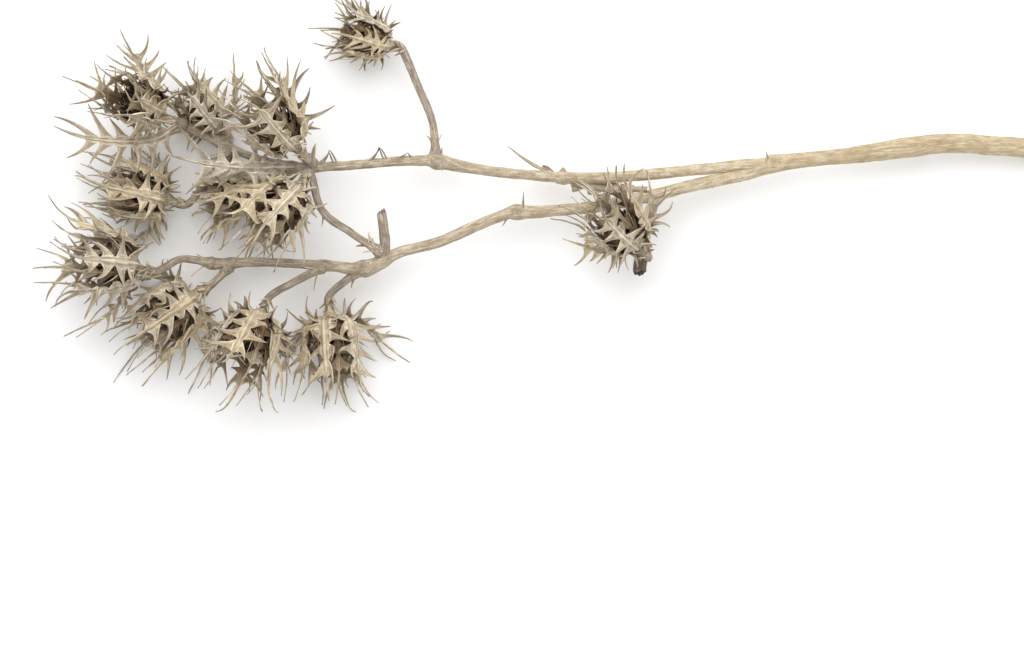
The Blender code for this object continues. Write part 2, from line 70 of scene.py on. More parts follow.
# The woody parts: each route is a row of (x, y, height, radius).
MAIN_STEM = (
    (233.0, 51.5, 2.7, 2.7),
    (206.0, 53.0, 4.1, 2.75),
    (176.0, 54.5, 5.7, 2.8),
    (154.0, 56.0, 6.9, 2.85),
    (134.0, 57.5, 7.9, 2.85),
    (118.0, 56.0, 8.8, 3.0),
    (101.0, 53.7, 9.7, 2.4),
    (88.0, 52.3, 10.4, 2.25),
    (79.0, 51.3, 10.9, 2.6),
    (76.0, 51.0, 11.1, 1.9),
)
UPPER_BRANCH = (
    (80.0, 51.5, 10.9, 1.9),
    (68.5, 50.7, 11.6, 1.75),
    (56.5, 49.5, 12.3, 1.65),
    (38.5, 47.7, 13.2, 1.6),
    (20.5, 46.9, 14.0, 1.55),
    (2.5, 47.9, 14.7, 1.5),
    (-12.5, 49.9, 15.2, 1.6),
    (-22.5, 51.8, 15.5, 2.2),
    (-25.5, 52.1, 15.5, 1.7),
    (-33.5, 51.9, 15.6, 1.45),
    (-45.5, 50.8, 15.4, 1.4),
    (-57.5, 50.1, 15.0, 1.4),
    (-65.0, 50.0, 14.5, 1.6),
    (-74.0, 52.0, 13.0, 1.2),
    (-84.0, 55.5, 11.5, 1.15),
    (-93.0, 60.0, 11.5, 1.3),
    (-99.0, 63.5, 12.0, 1.1),
)
LOWER_BRANCH = (
    (80.0, 51.0, 11.0, 2.0),
    (67.0, 47.4, 11.4, 1.9),
    (53.5, 44.4, 11.8, 1.85),
    (41.5, 41.4, 12.1, 1.8),
    (26.5, 38.4, 12.4, 1.75),
    (10.0, 36.9, 12.7, 1.7),
    (1.5, 36.6, 12.9, 2.1),
    (-2.0, 36.0, 13.0, 1.7),
    (-9.5, 33.0, 13.2, 1.65),
    (-21.5, 27.9, 13.4, 1.6),
    (-33.5, 24.6, 13.5, 1.6),
    (-40.0, 21.3, 13.6, 2.1),
    (-43.5, 19.8, 13.6, 2.3),
    (-48.0, 19.6, 13.4, 1.7),
    (-57.5, 20.7, 12.6, 1.45),
    (-75.5, 21.6, 11.4, 1.35),
    (-90.0, 21.0, 11.0, 1.5),
)
SHORT_STUB = (
    (-39.0, 22.0, 13.5, 1.6),
    (-38.2, 27.0, 14.4, 1.55),
    (-38.6, 32.0, 15.2, 1.45),
    (-39.2, 36.2, 15.9, 1.3),
)
LONG_STUB = (
    (44.0, 42.0, 12.3, 1.3),
    (41.6, 36.0, 12.6, 1.5),
    (39.6, 29.0, 13.6, 1.75),
    (38.3, 18.9, 14.8, 1.9),
)
MAIN_SPACING, BRANCH_SPACING, STALK_SPACING, STALK_RADIUS = 12.0, 6.0, 4.5, 1.15
STALK_APPROACH, LONG_STALK = 6.0, 30.0
SEAT_GAP = 0.3

# Spikes on the wood: the foot (x, y, height), the way the spike points, and its length. The first
# of them, as many as SCARS says, are shown as leaf scars.
THORNS = (
    ((-53.4, 50.8, 16.2), (-0.35, 0.90, 0.25), 4.6),
    ((-55.0, 50.6, 16.0), (0.30, 0.92, 0.10), 4.0),
    ((-38.4, 52.0, 16.2), (-0.30, 0.90, 0.30), 4.2),
    ((-40.0, 51.8, 16.0), (0.35, 0.90, 0.15), 4.2),
    ((-31.0, 52.2, 16.2), (0.10, 0.80, 0.55), 2.6),
    ((-24.3, 52.8, 16.3), (0.05, 0.95, 0.25), 3.8),
    ((-21.4, 52.8, 16.2), (0.15, 0.95, 0.25), 3.4),
    ((-21.5, 50.4, 15.0), (0.30, -0.80, -0.40), 1.8),
    ((3.2, 37.0, 14.0), (0.05, 0.95, 0.30), 6.0),
    ((-1.0, 35.5, 12.6), (-0.50, -0.85, -0.10), 3.8),
    ((-56.2, 36.6, 21.1), (-0.15, -0.85, -0.50), 5.2),
    ((-58.1, 38.8, 21.9), (-0.60, -0.70, -0.35), 4.4),
    ((77.0, 52.0, 12.0), (-0.20, 0.75, 0.60), 3.6),
    ((62.0, 46.0, 10.4), (-0.55, -0.70, -0.45), 3.2),
)


@dataclass(frozen=True)
class Head:
    """A flower head: its middle, the way it faces, how big it is, and where its stalk runs."""

    centre: tuple
    facing: tuple
    size: float
    stalk: tuple
    spreading: tuple = (2, 4)


HEADS = (
    Head(
        (-43.0, 88.8, 11.2),
        (-0.92, 0.28, 0.24),
        0.70,
        ((-22.7, 52.1, 15.5), (-24.0, 64.0, 14.6), (-28.5, 75.0, 12.4)),
        (),
    ),
    Head((-112.2, 69.0, 25.2), (-0.58, 0.28, 0.77), 0.98, ((-97.5, 62.5, 11.9),)),
    Head((-70.5, 62.5, 27.0), (-0.60, 0.70, 0.35), 1.0, ((-59.5, 50.2, 15.0), (-61.0, 53.0, 18.0)), ()),
    Head((-93.0, 67.0, 11.3), (-0.62, 0.64, 0.25), 0.82, ((-88.0, 57.5, 11.5),)),
    Head((-83.0, 42.0, 11.2), (-0.85, -0.35, 0.15), 0.92, ((-66.0, 50.0, 14.4),)),
    Head((-112.0, 42.0, 11.8), (-0.93, 0.20, 0.10), 0.98, ((-85.0, 56.0, 11.5), (-92.5, 45.0, 10.4))),
    Head(
        (-69.0, 37.5, 28.5),
        (-0.58, -0.72, 0.35),
        0.98,
        ((-38.6, 24.0, 14.2), (-48.6, 30.6, 18.5), (-57.0, 37.2, 21.5)),
    ),
    Head((-121.0, 20.5, 22.0), (-0.90, 0.10, 0.35), 1.05, ((-89.0, 21.0, 11.0), (-99.0, 22.5, 14.0))),
    Head((-102.0, 5.5, 12.2), (-0.75, -0.60, 0.10), 1.05, ((-84.0, 21.2, 11.1),)),
    Head((-78.5, -2.0, 23.0), (-0.35, -0.80, 0.40), 1.05, ((-56.0, 20.6, 12.7), (-65.5, 15.5, 15.2))),
    Head((-54.0, -3.0, 11.1), (0.05, -0.95, 0.15), 1.0, ((-45.0, 19.8, 13.5),)),
    Head((32.4, 32.5, 25.0), (-0.60, 0.68, 0.42), 0.95, ((39.2, 25.5, 14.0),)),
)

# A head of size 1: how its bracts are drawn, how far its middle is from its foot, its seed head,
# and the thick line in its middle that no leaf may reach.
HEAD_SEED = 220
BRACTS_PER_HEAD = 6
FIRST_TURN, BRACT_SIZES = 0.3, (0.93, 1.1)
BRACT_NUDGES, BRACT_SCATTER = (0.0, 0.2, -0.2, 0.4, -0.4), 0.08
CAGE_CENTRE = 9.0
CALYX_HEIGHT = 2.6
SEED_RADIUS, SEED_HALF_HEIGHT = 5.6, 5.4
CORE_REACH, CORE_RADIUS = 0.6, 6.0

# A bract's centre line, seen from the side of the head: (distance from the axis, height) at the
# four points of a Bezier curve.
UPRIGHT_BRACT = ((2.0, 1.3), (12.0, -1.0), (7.5, 16.0), (12.5, 27.0))
SPREADING_BRACT = ((2.0, 1.2), (9.0, -2.5), (14.5, 5.0), (20.0, 14.0))

# The long leaves that stand below a head: the row of points of the centre line, and how long
# their side spines are.
LEAVES = (
    ((-100.5, 62.5, 15), (-107, 58.5, 20), (-118, 57.8, 22.5), (-128, 59, 22), (-137, 61.5, 20.5)),
    ((-65.5, 50, 16.9), (-71, 50, 22.5), (-80, 50, 26), (-91, 51, 26.5), (-103, 54, 24.5)),
    ((40.6, 43.4, 13.8), (30, 43.8, 12), (18, 46, 9.3), (8, 50, 8.6), (-1, 55, 9)),
)
LEAF_SPINES = (1.2, 1.3, 0.5)
LEAF_SEED = 200


@dataclass(frozen=True)
class Plate:
    """How a bract or a leaf is cut: its widths, and its pairs of spines from the root to the tip.

    face_step is how far to both sides its line is measured to find which way its face looks.
    """

    root: float
    belly: float
    neck: float
    pairs: int
    first_spine: float
    spine_foot: float
    reach: tuple
    lean: tuple
    rise: tuple
    face_step: float = 0.02


BRACT = Plate(2.2, 5.6, 2.3, 5, 0.14, 0.055, reach=(4.8, 9.0), lean=(0.1, 1.1), rise=(1.15, 0.7))
LEAF = Plate(
    1.8, 4.6, 1.7, 6, 0.12, 0.045, reach=(6.0, 10.0), lean=(0.1, 0.9), rise=(0.1, 0.3), face_step=0.03
)

# Along a plate, where the last pair of spines stands and where it is widest, and how freely each
# spine's three ways and its length are drawn.
LAST_SPINE, WIDEST = 0.68, 0.33
SIDEWAYS, FORWARD, OUTWARD, LENGTHS = (0.85, 1.15), (0.7, 1.3), (0.4, 1.5), (0.75, 1.3)

# How near a plate may come to the surface, to a neighbouring head and to wood, and where it starts
# to bend away.
SURFACE_MARGIN, SURFACE_BEND = 0.18, 1.2
NEIGHBOUR_MARGIN, NEIGHBOUR_BEND, NEIGHBOUR_REACH = 0.75, 3.0, 60.0
SETTLING_ROUNDS = 3
PLATE_ROOM, SPINE_ROOM, LEAF_ROOM = 2.9, 0.8, 1.9
LEAF_SPACING, LEAF_SPINE_RADIUS = 0.5, 0.5

# How the finer sheets are woven: columns across a sheet, rows of its root, of each bay between two
# spines, of its last point and of each spine.
WIDE_SHEET = (-1.0, -0.7, -0.36, 0.0, 0.36, 0.7, 1.0)
SLIM_SHEET = (-1.0, -0.5, 0.0, 0.5, 1.0)
ROOT_ROWS, BAY_ROWS, TIP_ROWS, SPINE_ROWS = 3, 6, 12, 9
LENGTH_PIECES, LINE_STEP = 8, 0.01
SHEET_SEED = 3000

# Their outline: the bays, how the last point thins out, and how freely it all bends.
BAY_DEPTH, BAY_FADE, SLIMNESS = 0.42, 0.03, 0.88
TIP_WIDTH, TIP_LOSS, TIP_DROP, TIP_TAPER = 0.9, 0.48, 7.0, 0.7
TIP_GROWTH, TIP_SWERVE, TIP_LIFT = (-0.1, 0.6), 4.0, (-0.2, 1.0)
TWIST, SWAY = 0.65, 2.2
LEAF_LOOSENESS, LEAF_GROWTH = 0.25, (1.0, 1.0, 0.5)

# Their relief: half thicknesses, side veins, the cup across, ripples, and pale ribs and margins.
RIB_HALF, BODY_HALF, MARGIN_HALF = 0.30, 0.13, 0.22
SHEET_THINNING, SPINE_THINNING = 0.55, 0.6
RIB_SLANT, RIB_SPREAD, RIB_RISE, RIB_FADE = 0.42, 0.45, 0.24, 0.6
CUPPING = 0.42
RIPPLE, RIPPLE_GRAIN = 0.25, (1.3, 0.35, 3.7)
PALE_MARGIN, PALE_RIB, PALE_SIDE = 0.95, 0.85, 0.35

# Their spines: a flared foot, a fold along the middle, and a bend that each has for its own.
SPINE_FLARE, SPINE_HALF, SPINE_TIP = 0.9, 0.47, 0.07
SPINE_CROWDING, SPINE_TAPER, SPINE_FOLD, SPINE_RIDGE = 1.35, 0.75, 0.45, 0.1
SPINE_GROWTH, SPINE_TURN, SPINE_SWERVE = (0.5, 1.35), 0.28, 0.2
SPINE_LEAVING, SPINE_BEND, BLOCKED_SPINE = 0.35, 0.45, 0.2
PALE_SPINE, PALE_FOOT, PALE_LOSS, SPINE_GRAIN = 0.25, 0.7, 0.4, 0.37

# The inner bracts: slim, close round the seed head, with spines that lie round it and a needle tip.
INNER = Plate(1.5, 3.0, 1.4, 4, 0.16, 0.036, reach=(5.0, 6.5), lean=(0.25, 0.7), rise=(-0.8, -0.2))
INNER_BRACTS, INNER_SEED, INNER_SWAY = 7, 5000, 1.6
INNER_PROFILE = ((2.4, 2.0), (10.6, 4.0), (5.0, 15.0), (7.5, 25.0))

# The thin dry bristles that stand out of a head, and the shade painted dark inside it.
NEEDLES, NEEDLE_SEED, NEEDLE_RINGS, NEEDLE_SIDES = 13, 8000, 9, 5
NEEDLE_LENGTH, NEEDLE_HALF, NEEDLE_TAPER, NEEDLE_TIP = (7.0, 18.0), 0.28, 0.6, 0.05
NEEDLE_FOOT, NEEDLE_START, NEEDLE_SCATTER = 3.0, (2.0, 6.0), 0.4
NEEDLE_OPENING, NEEDLE_BEND, PALE_NEEDLE = (0.35, 1.5), (-1.0, 2.5), 0.75
NEEDLE_COVERED, NEEDLE_GRAIN = 0.3, 0.17
PAINTED_SHADE_RADIUS, PAINTED_SHADE_LENGTH, PAINTED_SHADE_FADE, LEAST_PAINTED_SHADE_SIZE = 12.35, 1.3, 0.4, 0.92

# How the finer pieces keep off the seed head, and inside the solids' box.
EGG_ROOM, EGG_PUSH = 0.35, 0.2
BOX_MARGIN, BOX_BEND = 0.3, 2.5

# The calyx: the radii at heights up its side, its ribs, and the scales round its foot.
CALYX_HEIGHTS = (-1.2, -0.5, 0.0, 0.8, 1.7, 2.6, 3.0, 3.1)
CALYX_RADII = (1.1, 1.35, 1.75, 2.4, 3.1, 3.4, 2.6, 1.0)
CALYX_RIBS, CALYX_RIB_DEPTH, CALYX_SIDES, CALYX_EDGE = 11, 0.07, 44, 0.25
CALYX_SCALES, CALYX_SCALE_REACH, CALYX_SCALE_RADIUS = 8, 3.6, 1.8

# The seed head: a plain egg, and pointed scales in rows, some of them drawn out to bristles.
SEED_HEAD_SEED = 900
EGG_RINGS, EGG_SIDES, EGG_SHARE, EGG_END = 10, 20, 0.8, 0.02
SEED_SCALES, GOLDEN_TURN = 150, 2.399963
LOWEST_SCALE, SCALE_ZONE, SCALE_FOOT = -0.72, 1.68, 0.72
SCALE_LENGTH, SCALE_HALF, SCALE_RISE = (0.24, 0.34), 0.58, 0.8
SCALE_PROFILE = ((0.0, 1.0), (0.35, 1.15), (0.7, 0.6), (1.0, 0.09))
SCALE_RIDGE, SCALE_KEEL, SCALE_GRAIN = 0.5, 0.4, 0.11
BRISTLE_SHARE, BRISTLE_GROWTH, BRISTLE_HALF = 0.22, 1.35, 0.30

# The small scales on stalks, knots and calyxes, and their rings at both ends of a stalk: how many,
# where the first is, how far apart they are, and how many scales each has.
SCRAP_SEED, SCRAP_ROWS, SCRAP_HALF = 7000, 5, 0.12
SCRAP_WIDTH, SCRAP_GROWTH, SCRAP_RISE, SCRAP_SPREAD = (0.9, 1.7), (0.6, 1.25), (0.7, 1.1), (0.1, 0.7)
SCRAP_TAPER, SCRAP_BELLY, SCRAP_TIP = 0.7, 0.5, 0.05
SCRAP_CURL, SCRAP_SINK, SCRAP_FOLD = 0.30, 0.05, 0.3
SCRAP_SCATTER, SCRAP_SHIFT, SCRAP_ROOM = 0.3, 0.6, 0.4
SEAT_RINGS, SEAT_RING_AT, SEAT_RING_GAP, SEAT_SCALES, SEAT_SCALE_REACH = 3, 1.0, 1.9, 4, 2.6
ROOT_RINGS, ROOT_RING_AT, ROOT_RING_GAP, ROOT_SCALES, ROOT_SCALE_REACH = 3, 2.2, 1.7, 2, 4.6
ROOT_SCALE_RADIUS = 1.1

# The wood: its swellings, ridges and roughness, and the flare at a stalk's foot.
STEM_STEP, MAIN_SIDES, STEM_SIDES, STALK_SIDES = 0.8, 36, 28, 20
STALK_SWELLING, SWELL_REACH = 0.22, 1.9
KNOTS = (((78.0, 51.3, 11.0), 0.12), ((1.5, 36.6, 12.9), 0.2))
RIDGES, RIDGE_DEPTH, RIDGE_WANDER, RIDGE_DRIFT = 7, 0.05, 2.0, 0.04
UNEVENNESS, UNEVEN_ROUND, UNEVEN_ALONG = 0.13, 0.8, 0.12
ROUGH_YOUNG, ROUGH_OLD, ROUGH_ROUND, ROUGH_ALONG = 0.04, 0.12, 3.1, 0.5
STALK_FLARE, FLARE_START, FLARE_REACH = 0.85, 1.6, 3.4
KNOT_SHADE, DARKEST_KNOT = 1.3, 0.4

# Its broken ends: (depth, share of the radius, darkness) from the rim down into the hollow. The darkness
# is painted shade, deepening into the hollow.
BROKEN_RINGS = ((0, 1, 0.4), (0.5, 0.93, 0.6), (0.45, 0.74, 0.8), (-1.6, 0.62, 1), (-2, 0.2, 1))
RAGGEDNESS, RAG_STEP, RAG_SEED = 0.8, 0.55, 3.1
END_RINGS, SHORT_STUB_SLANT, LONG_STUB_SLANT = 2, 0.6, 0.5

# How grey and brown it is with age.
YOUNG_X, AGE_SPAN, OLDEST_BRANCH = 100.0, 250.0, 0.7
SHORT_STUB_AGE, LONG_STUB_AGE, STALK_FRESHNESS = 0.85, 1.35, 0.25

# Leaf scars of thin strands, and spikes: (share of the length, radius) from the foot to the point.
SCARS, SCAR_LEAN, SCAR_RINGS, SCAR_SIDES = 5, 0.5, 11, 6
STRANDS, STRAND_HALF, STRAND_TAPER, STRAND_TIP = ((6.5, -1.3), (2.6, -2.2)), 0.38, 0.45, 0.1
STRAND_SINK, STRAND_BEND, STRAND_HOOK, STRAND_GRAIN = 0.6, (0.3, 0.45), 0.5, 0.3
SPIKE_PROFILE = ((-0.12, 1.0), (0.0, 0.95), (0.15, 0.62), (0.4, 0.42), (0.7, 0.25), (1.0, 0.06))
SPIKE_RADIUS, SPIKE_SIDES = 0.8, 9
FIRST_STALK, FIRST_SPIKE = 10, 30

# The studio: a floor just under the holly, a white sky, one round light and the camera, whose
# picture is SEEN_WIDTH wide at SEEN_LEVEL.
FLOOR_HALF, FLOOR_LEVEL = 3.0, -0.0002
SKY_STRENGTH = 0.84
KEY_SIZE, KEY_WATTS, KEY_PLACE = 1.6, 16.5, Vector((-0.15, 0.75, 1.3))
LENS, SENSOR = 300.0, 36.0
SEEN_WIDTH, SEEN_LEVEL = 0.3072, 0.015

# What the materials read at each vertex, what besides is known of it while it is made, and what
# the fibre group gives.
READ_MARKS = ("grain", "edge", "reach", "painted_shade")
MARKS = (*READ_MARKS, "half")
FIBRE_OUTPUTS = ("Fibres", "Patches", "Specks")


def at(place):
    """A point given in millimetres on the plan, in metres from the origin."""
    return (Vector(place) - PLAN_MIDDLE) * MM


def bezier(points, t):
    """A point of the curve with four control points."""
    s = 1.0 - t
    weights = (s**3, 3 * s * s * t, 3 * s * t * t, t**3)
    return [sum(w * p[k] for w, p in zip(weights, points)) for k in range(len(points[0]))]


def arc(start, bend, end, s):
    """A point of the curve from start to end that is drawn towards bend."""
    return start * (1 - s) ** 2 + bend * 2 * s * (1 - s) + end * s * s


def direction_at(line_at, t, step):
    """Which way a line runs at a share t of its length."""
    return (line_at(min(t + step, 1.0)) - line_at(max(t - step, 0.0))).normalized()


def square_to(axis):
    """Two ways that are square to an axis and to each other."""
    level = axis.orthogonal().normalized()
    return level, axis.cross(level)


def smooth_route(knots, spacing_mm):
    """Points along the Catmull-Rom curve through the knots, whose last value is a radius."""
    vectors = [Vector(knot) for knot in knots]
    ends = [vectors[0] * 2 - vectors[1]] + vectors + [vectors[-1] * 2 - vectors[-2]]
    route = []
    for i in range(1, len(ends) - 2):
        a, b, c, d = ends[i - 1 : i + 3]
        linear = c - a
        square = 2 * a - 5 * b + 4 * c - d
        cube = 3 * b - 3 * c + d - a
        steps = max(1, round((c.xyz - b.xyz).length / spacing_mm))
        for k in range(steps):
            t = k / steps
            route.append(0.5 * (2 * b + linear * t + square * t**2 + cube * t**3))
    return route + [vectors[-1]]


def segments(route):
    """The pieces of a route, as (start, end, radius) in metres."""
    places = [at(point[:3]) for point in route]
    return [(a, b, point[3] * MM) for a, b, point in zip(places, places[1:], route)]


def segment_distance(a, b, c, d):
    """The least distance between the segments a-b and c-d."""
    u, v, w = b - a, d - c, a - c
    uu, uv, vv, uw, vw = u.dot(u), u.dot(v), v.dot(v), u.dot(w), v.dot(w)
    spread = uu * vv - uv * uv
    s = min(1.0, max(0.0, (uv * vw - vv * uw) / spread)) if spread > 1e-18 else 0.0
    t = min(1.0, max(0.0, (uv * s + vw) / vv))
    s = min(1.0, max(0.0, (uv * t - uw) / uu))
    return (w + u * s - v * t).length


def stalk_knots(head):
    """A head's stalk: from the wood, through its points, and straight into the foot of the calyx."""
    axis = Vector(head.facing).normalized()
    base = Vector(head.centre) - axis * CAGE_CENTRE * head.size
    ends = [base - axis * STALK_APPROACH * head.size, base - axis * SEAT_GAP]
    return [(*knot, STALK_RADIUS) for knot in [*head.stalk, *ends]]


def bent_off(point, planes):
    """The point, drawn back softly where it would near a plane, and never left past one."""
    for place, normal, margin, start in planes:
        depth = (point - place).dot(normal)
        if depth < start:
            room = start - margin
            point = point + normal * (margin + room * math.exp((depth - start) / room) - depth)
    for _ in range(SETTLING_ROUNDS):
        for place, normal, margin, _ in planes:
            point = point + normal * max(0.0, margin - (point - place).dot(normal))
    return point


@dataclass(frozen=True)
class Surroundings:
    """What a flower head or leaf stays clear of: planes towards its neighbours, and wood.

    The finer pieces also stay inside the solids' box, and the inner bracts outside an egg, given as
    (middle, axis, radius, half height).
    """

    planes: list
    wood: list
    box: list
    egg: tuple = None

    def bent_clear(self, point):
        """Where the solid has the point."""
        return bent_off(point, self.planes)

    def fitted(self, point):
        """Where the finer piece has the point."""
        if self.egg:
            middle, axis, radius, half = self.egg
            height = (point - middle).dot(axis)
            level = point - middle - axis * height
            share = math.sqrt((level.length / radius) ** 2 + (height / half) ** 2)
            if share < 1:
                point = middle + (point - middle) / max(share, EGG_PUSH)
        return bent_off(point, self.planes + self.box)

    def hits_wood(self, a, b, room_mm):
        """Whether the line from a to b comes nearer to a stem than room_mm from its surface."""
        return any(segment_distance(a, b, c, d) < radius + room_mm * MM for c, d, radius in self.wood)


def surface_plane():
    """The plane of the surface that the holly lies on."""
    return Vector((0.0, 0.0, 0.0)), Vector((0.0, 0.0, 1.0)), SURFACE_MARGIN * MM, SURFACE_BEND * MM


def box_planes(box):
    """Planes just inside the sides and the top of the solids' box."""
    low, high = (Vector(corner) for corner in box)
    planes = []
    for corner, normal in ((low, (1, 0, 0)), (low, (0, 1, 0)), (high, (0, -1, 0)), (high, (0, 0, -1))):
        planes.append((corner, Vector(normal), BOX_MARGIN * MM, BOX_BEND * MM))
    return planes


def neighbour_planes(own):
    """The surface, and a plane between a head and each neighbour, which neither may pass."""
    planes = [surface_plane()]
    for other in HEADS:
        gap = Vector(own.centre) - Vector(other.centre)
        if other is own or gap.length > NEIGHBOUR_REACH:
            continue
        place = at(own.centre) - gap * MM * own.size / (own.size + other.size)
        planes.append((place, gap.normalized(), NEIGHBOUR_MARGIN * MM, NEIGHBOUR_BEND * MM))
    return planes


def bay_length(plate):
    """From one pair of spines to the next, as a share of the plate's length."""
    return (LAST_SPINE - plate.first_spine) / (plate.pairs - 1)


def stations(plate):
    """Where along a plate the solid's corners lie: a narrow foot for each pair of spines."""
    feet = [plate.first_spine + bay_length(plate) * k for k in range(plate.pairs)]
    return [0.0] + [t for foot in feet for t in (foot, foot + plate.spine_foot)] + [1.0]


def half_width(plate, size, t):
    """Half the plate's width: narrow at its root, widest a third of the way, then down to the neck."""
    neck_at = LAST_SPINE + plate.spine_foot
    belly = plate.belly * size
    if t < WIDEST:
        full = plate.root + (belly - plate.root) * math.sin(math.pi / 2 * t / WIDEST)
    elif t < neck_at:
        full = belly + (plate.neck - belly) * (t - WIDEST) / (neck_at - WIDEST)
    else:
        full = plate.neck * (1 - t) / (1 - neck_at)
    return 0.5 * full * MM


def side_spines(line, faces, plate, size, rng):
    """Pairs of spines on a plate's two edges, longer and leaning more towards its point."""
    spines = []
    feet = range(1, len(line) - 2, 2)
    for i in feet:
        t = i / feet[-1]
        reach, lean, rise = (
            near + (far - near) * t for near, far in (plate.reach, plate.lean, plate.rise)
        )
        along = (line[i + 1] - line[i]).normalized()
        for side in (-1, 1):
            across = along.cross(faces[i]).normalized() * side
            sideways = across * rng.uniform(*SIDEWAYS)
            forward = along * lean * rng.uniform(*FORWARD)
            outward = faces[i] * rise * rng.uniform(*OUTWARD)
            length = reach * size * rng.uniform(*LENGTHS) * MM
            spines.append((i, side, (sideways + forward + outward).normalized() * length))
    return spines


def head_frame(facing):
    """A head's axis, the way square to it that looks up most, and the third way."""
    axis = Vector(facing).normalized()
    sky = Vector((0.0, 0.0, 1.0))
    skyward = (sky - axis * axis.dot(sky)).normalized()
    return axis, skyward, axis.cross(skyward)


def head_core(head):
    """The middle of a head as a thick line, which no leaf may reach."""
    axis = Vector(head.facing).normalized() * CAGE_CENTRE * head.size
    foot = Vector(head.centre) - axis
    tip = Vector(head.centre) + CORE_REACH * axis
    return at(foot), at(tip), CORE_RADIUS * head.size * MM


def new_object(name, data):
    """A new object of the scene."""
    thing = bpy.data.objects.new(name, data)
    bpy.context.scene.collection.objects.link(thing)
    return thing


class Skin:
    """A surface in the making, with its marks at each vertex.

    grain is (across, along, own number) in millimetres, edge is how near a rib or a margin is, and on
    the wood how dark it is at knots and, as painted shade, in the hollows of its broken ends, reach runs
    from the body to the tip of a spine, the painted shade mark is how much shade is painted on in the
    hollows of a head, and half is half the thickness of a sheet in millimetres.
    """

    def __init__(self):
        self.places = []
        self.faces = []
        self.marks = {name: [] for name in MARKS}

    def vertex(self, place, grain, edge=0.0, reach=0.0, half=0.0):
        self.places.append(tuple(place))
        for name, value in zip(MARKS, (tuple(grain), edge, reach, 0.0, half)):
            self.marks[name].append(value)
        return len(self.places) - 1

    def strip(self, near, far):
        """Faces between two rows of vertices."""
        for k in range(len(near) - 1):
            self.faces.append((near[k], near[k + 1], far[k + 1], far[k]))

    def add(self, other):
        """Takes in another surface."""
        start = len(self.places)
        self.places += other.places
        self.faces += [tuple(start + k for k in face) for face in other.faces]
        for name in MARKS:
            self.marks[name] += other.marks[name]

    def thickened(self, lowest=None, painted_shade=(0.0, 0.0)):
        """The sheet as a closed solid: both its faces, and the rim that joins them."""
        places = np.array(self.places)
        half = np.array(self.marks["half"])[:, None] * MM
        quads = np.array(self.faces)
        spread = places[quads]
        square = np.cross(spread[:, 2] - spread[:, 0], spread[:, 3] - spread[:, 1])
        normals = np.zeros_like(places)
        for k in range(4):
            np.add.at(normals, quads[:, k], square)
        normals /= np.maximum(np.linalg.norm(normals, axis=1, keepdims=True), 1e-15)
        both = np.concatenate([places + normals * half, places - normals * half])
        if lowest is not None:
            both[:, 2] = np.maximum(both[:, 2], lowest)
        count = len(places)
        edges = {(face[k], face[(k + 1) % 4]) for face in self.faces for k in range(4)}
        rims = [(b, a, a + count, b + count) for a, b in edges if (b, a) not in edges]
        backs = [tuple(k + count for k in face[::-1]) for face in self.faces]
        solid = Skin()
        solid.places = [tuple(place) for place in both]
        solid.faces = self.faces + backs + sorted(rims)
        solid.marks = {name: values * 2 for name, values in self.marks.items()}
        # Painted shade: one value for the front faces, and one for the back faces.
        solid.marks["painted_shade"] = [painted_shade[0]] * count + [painted_shade[1]] * count
        return solid

    def fade_painted_shade(self, centre, axis, radius):
        """Keeps the painted shade near the middle of a head, and lets it fade out towards its spines."""
        for k, place in enumerate(self.places):
            offset = Vector(place) - centre
            height = offset.dot(axis) / PAINTED_SHADE_LENGTH
            level = (offset - axis * offset.dot(axis)).length
            depth = (1.0 - math.hypot(height, level) / radius) / PAINTED_SHADE_FADE
            self.marks["painted_shade"][k] *= min(1.0, max(0.0, depth))

    def made(self, name, material):
        """The finished piece, riding on the stem."""
        mesh = bpy.data.meshes.new(name)
        mesh.from_pydata(self.places, [], self.faces)
        mesh.shade_smooth()
        for mark in READ_MARKS:
            kind, field = ("FLOAT_VECTOR", "vector") if mark == "grain" else ("FLOAT", "value")
            layer = mesh.attributes.new(mark, kind, "POINT")
            layer.data.foreach_set(field, np.ravel(self.marks[mark]))
        mesh.materials.append(material)
        piece = new_object(name, mesh)
        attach(piece, "root")
        return piece


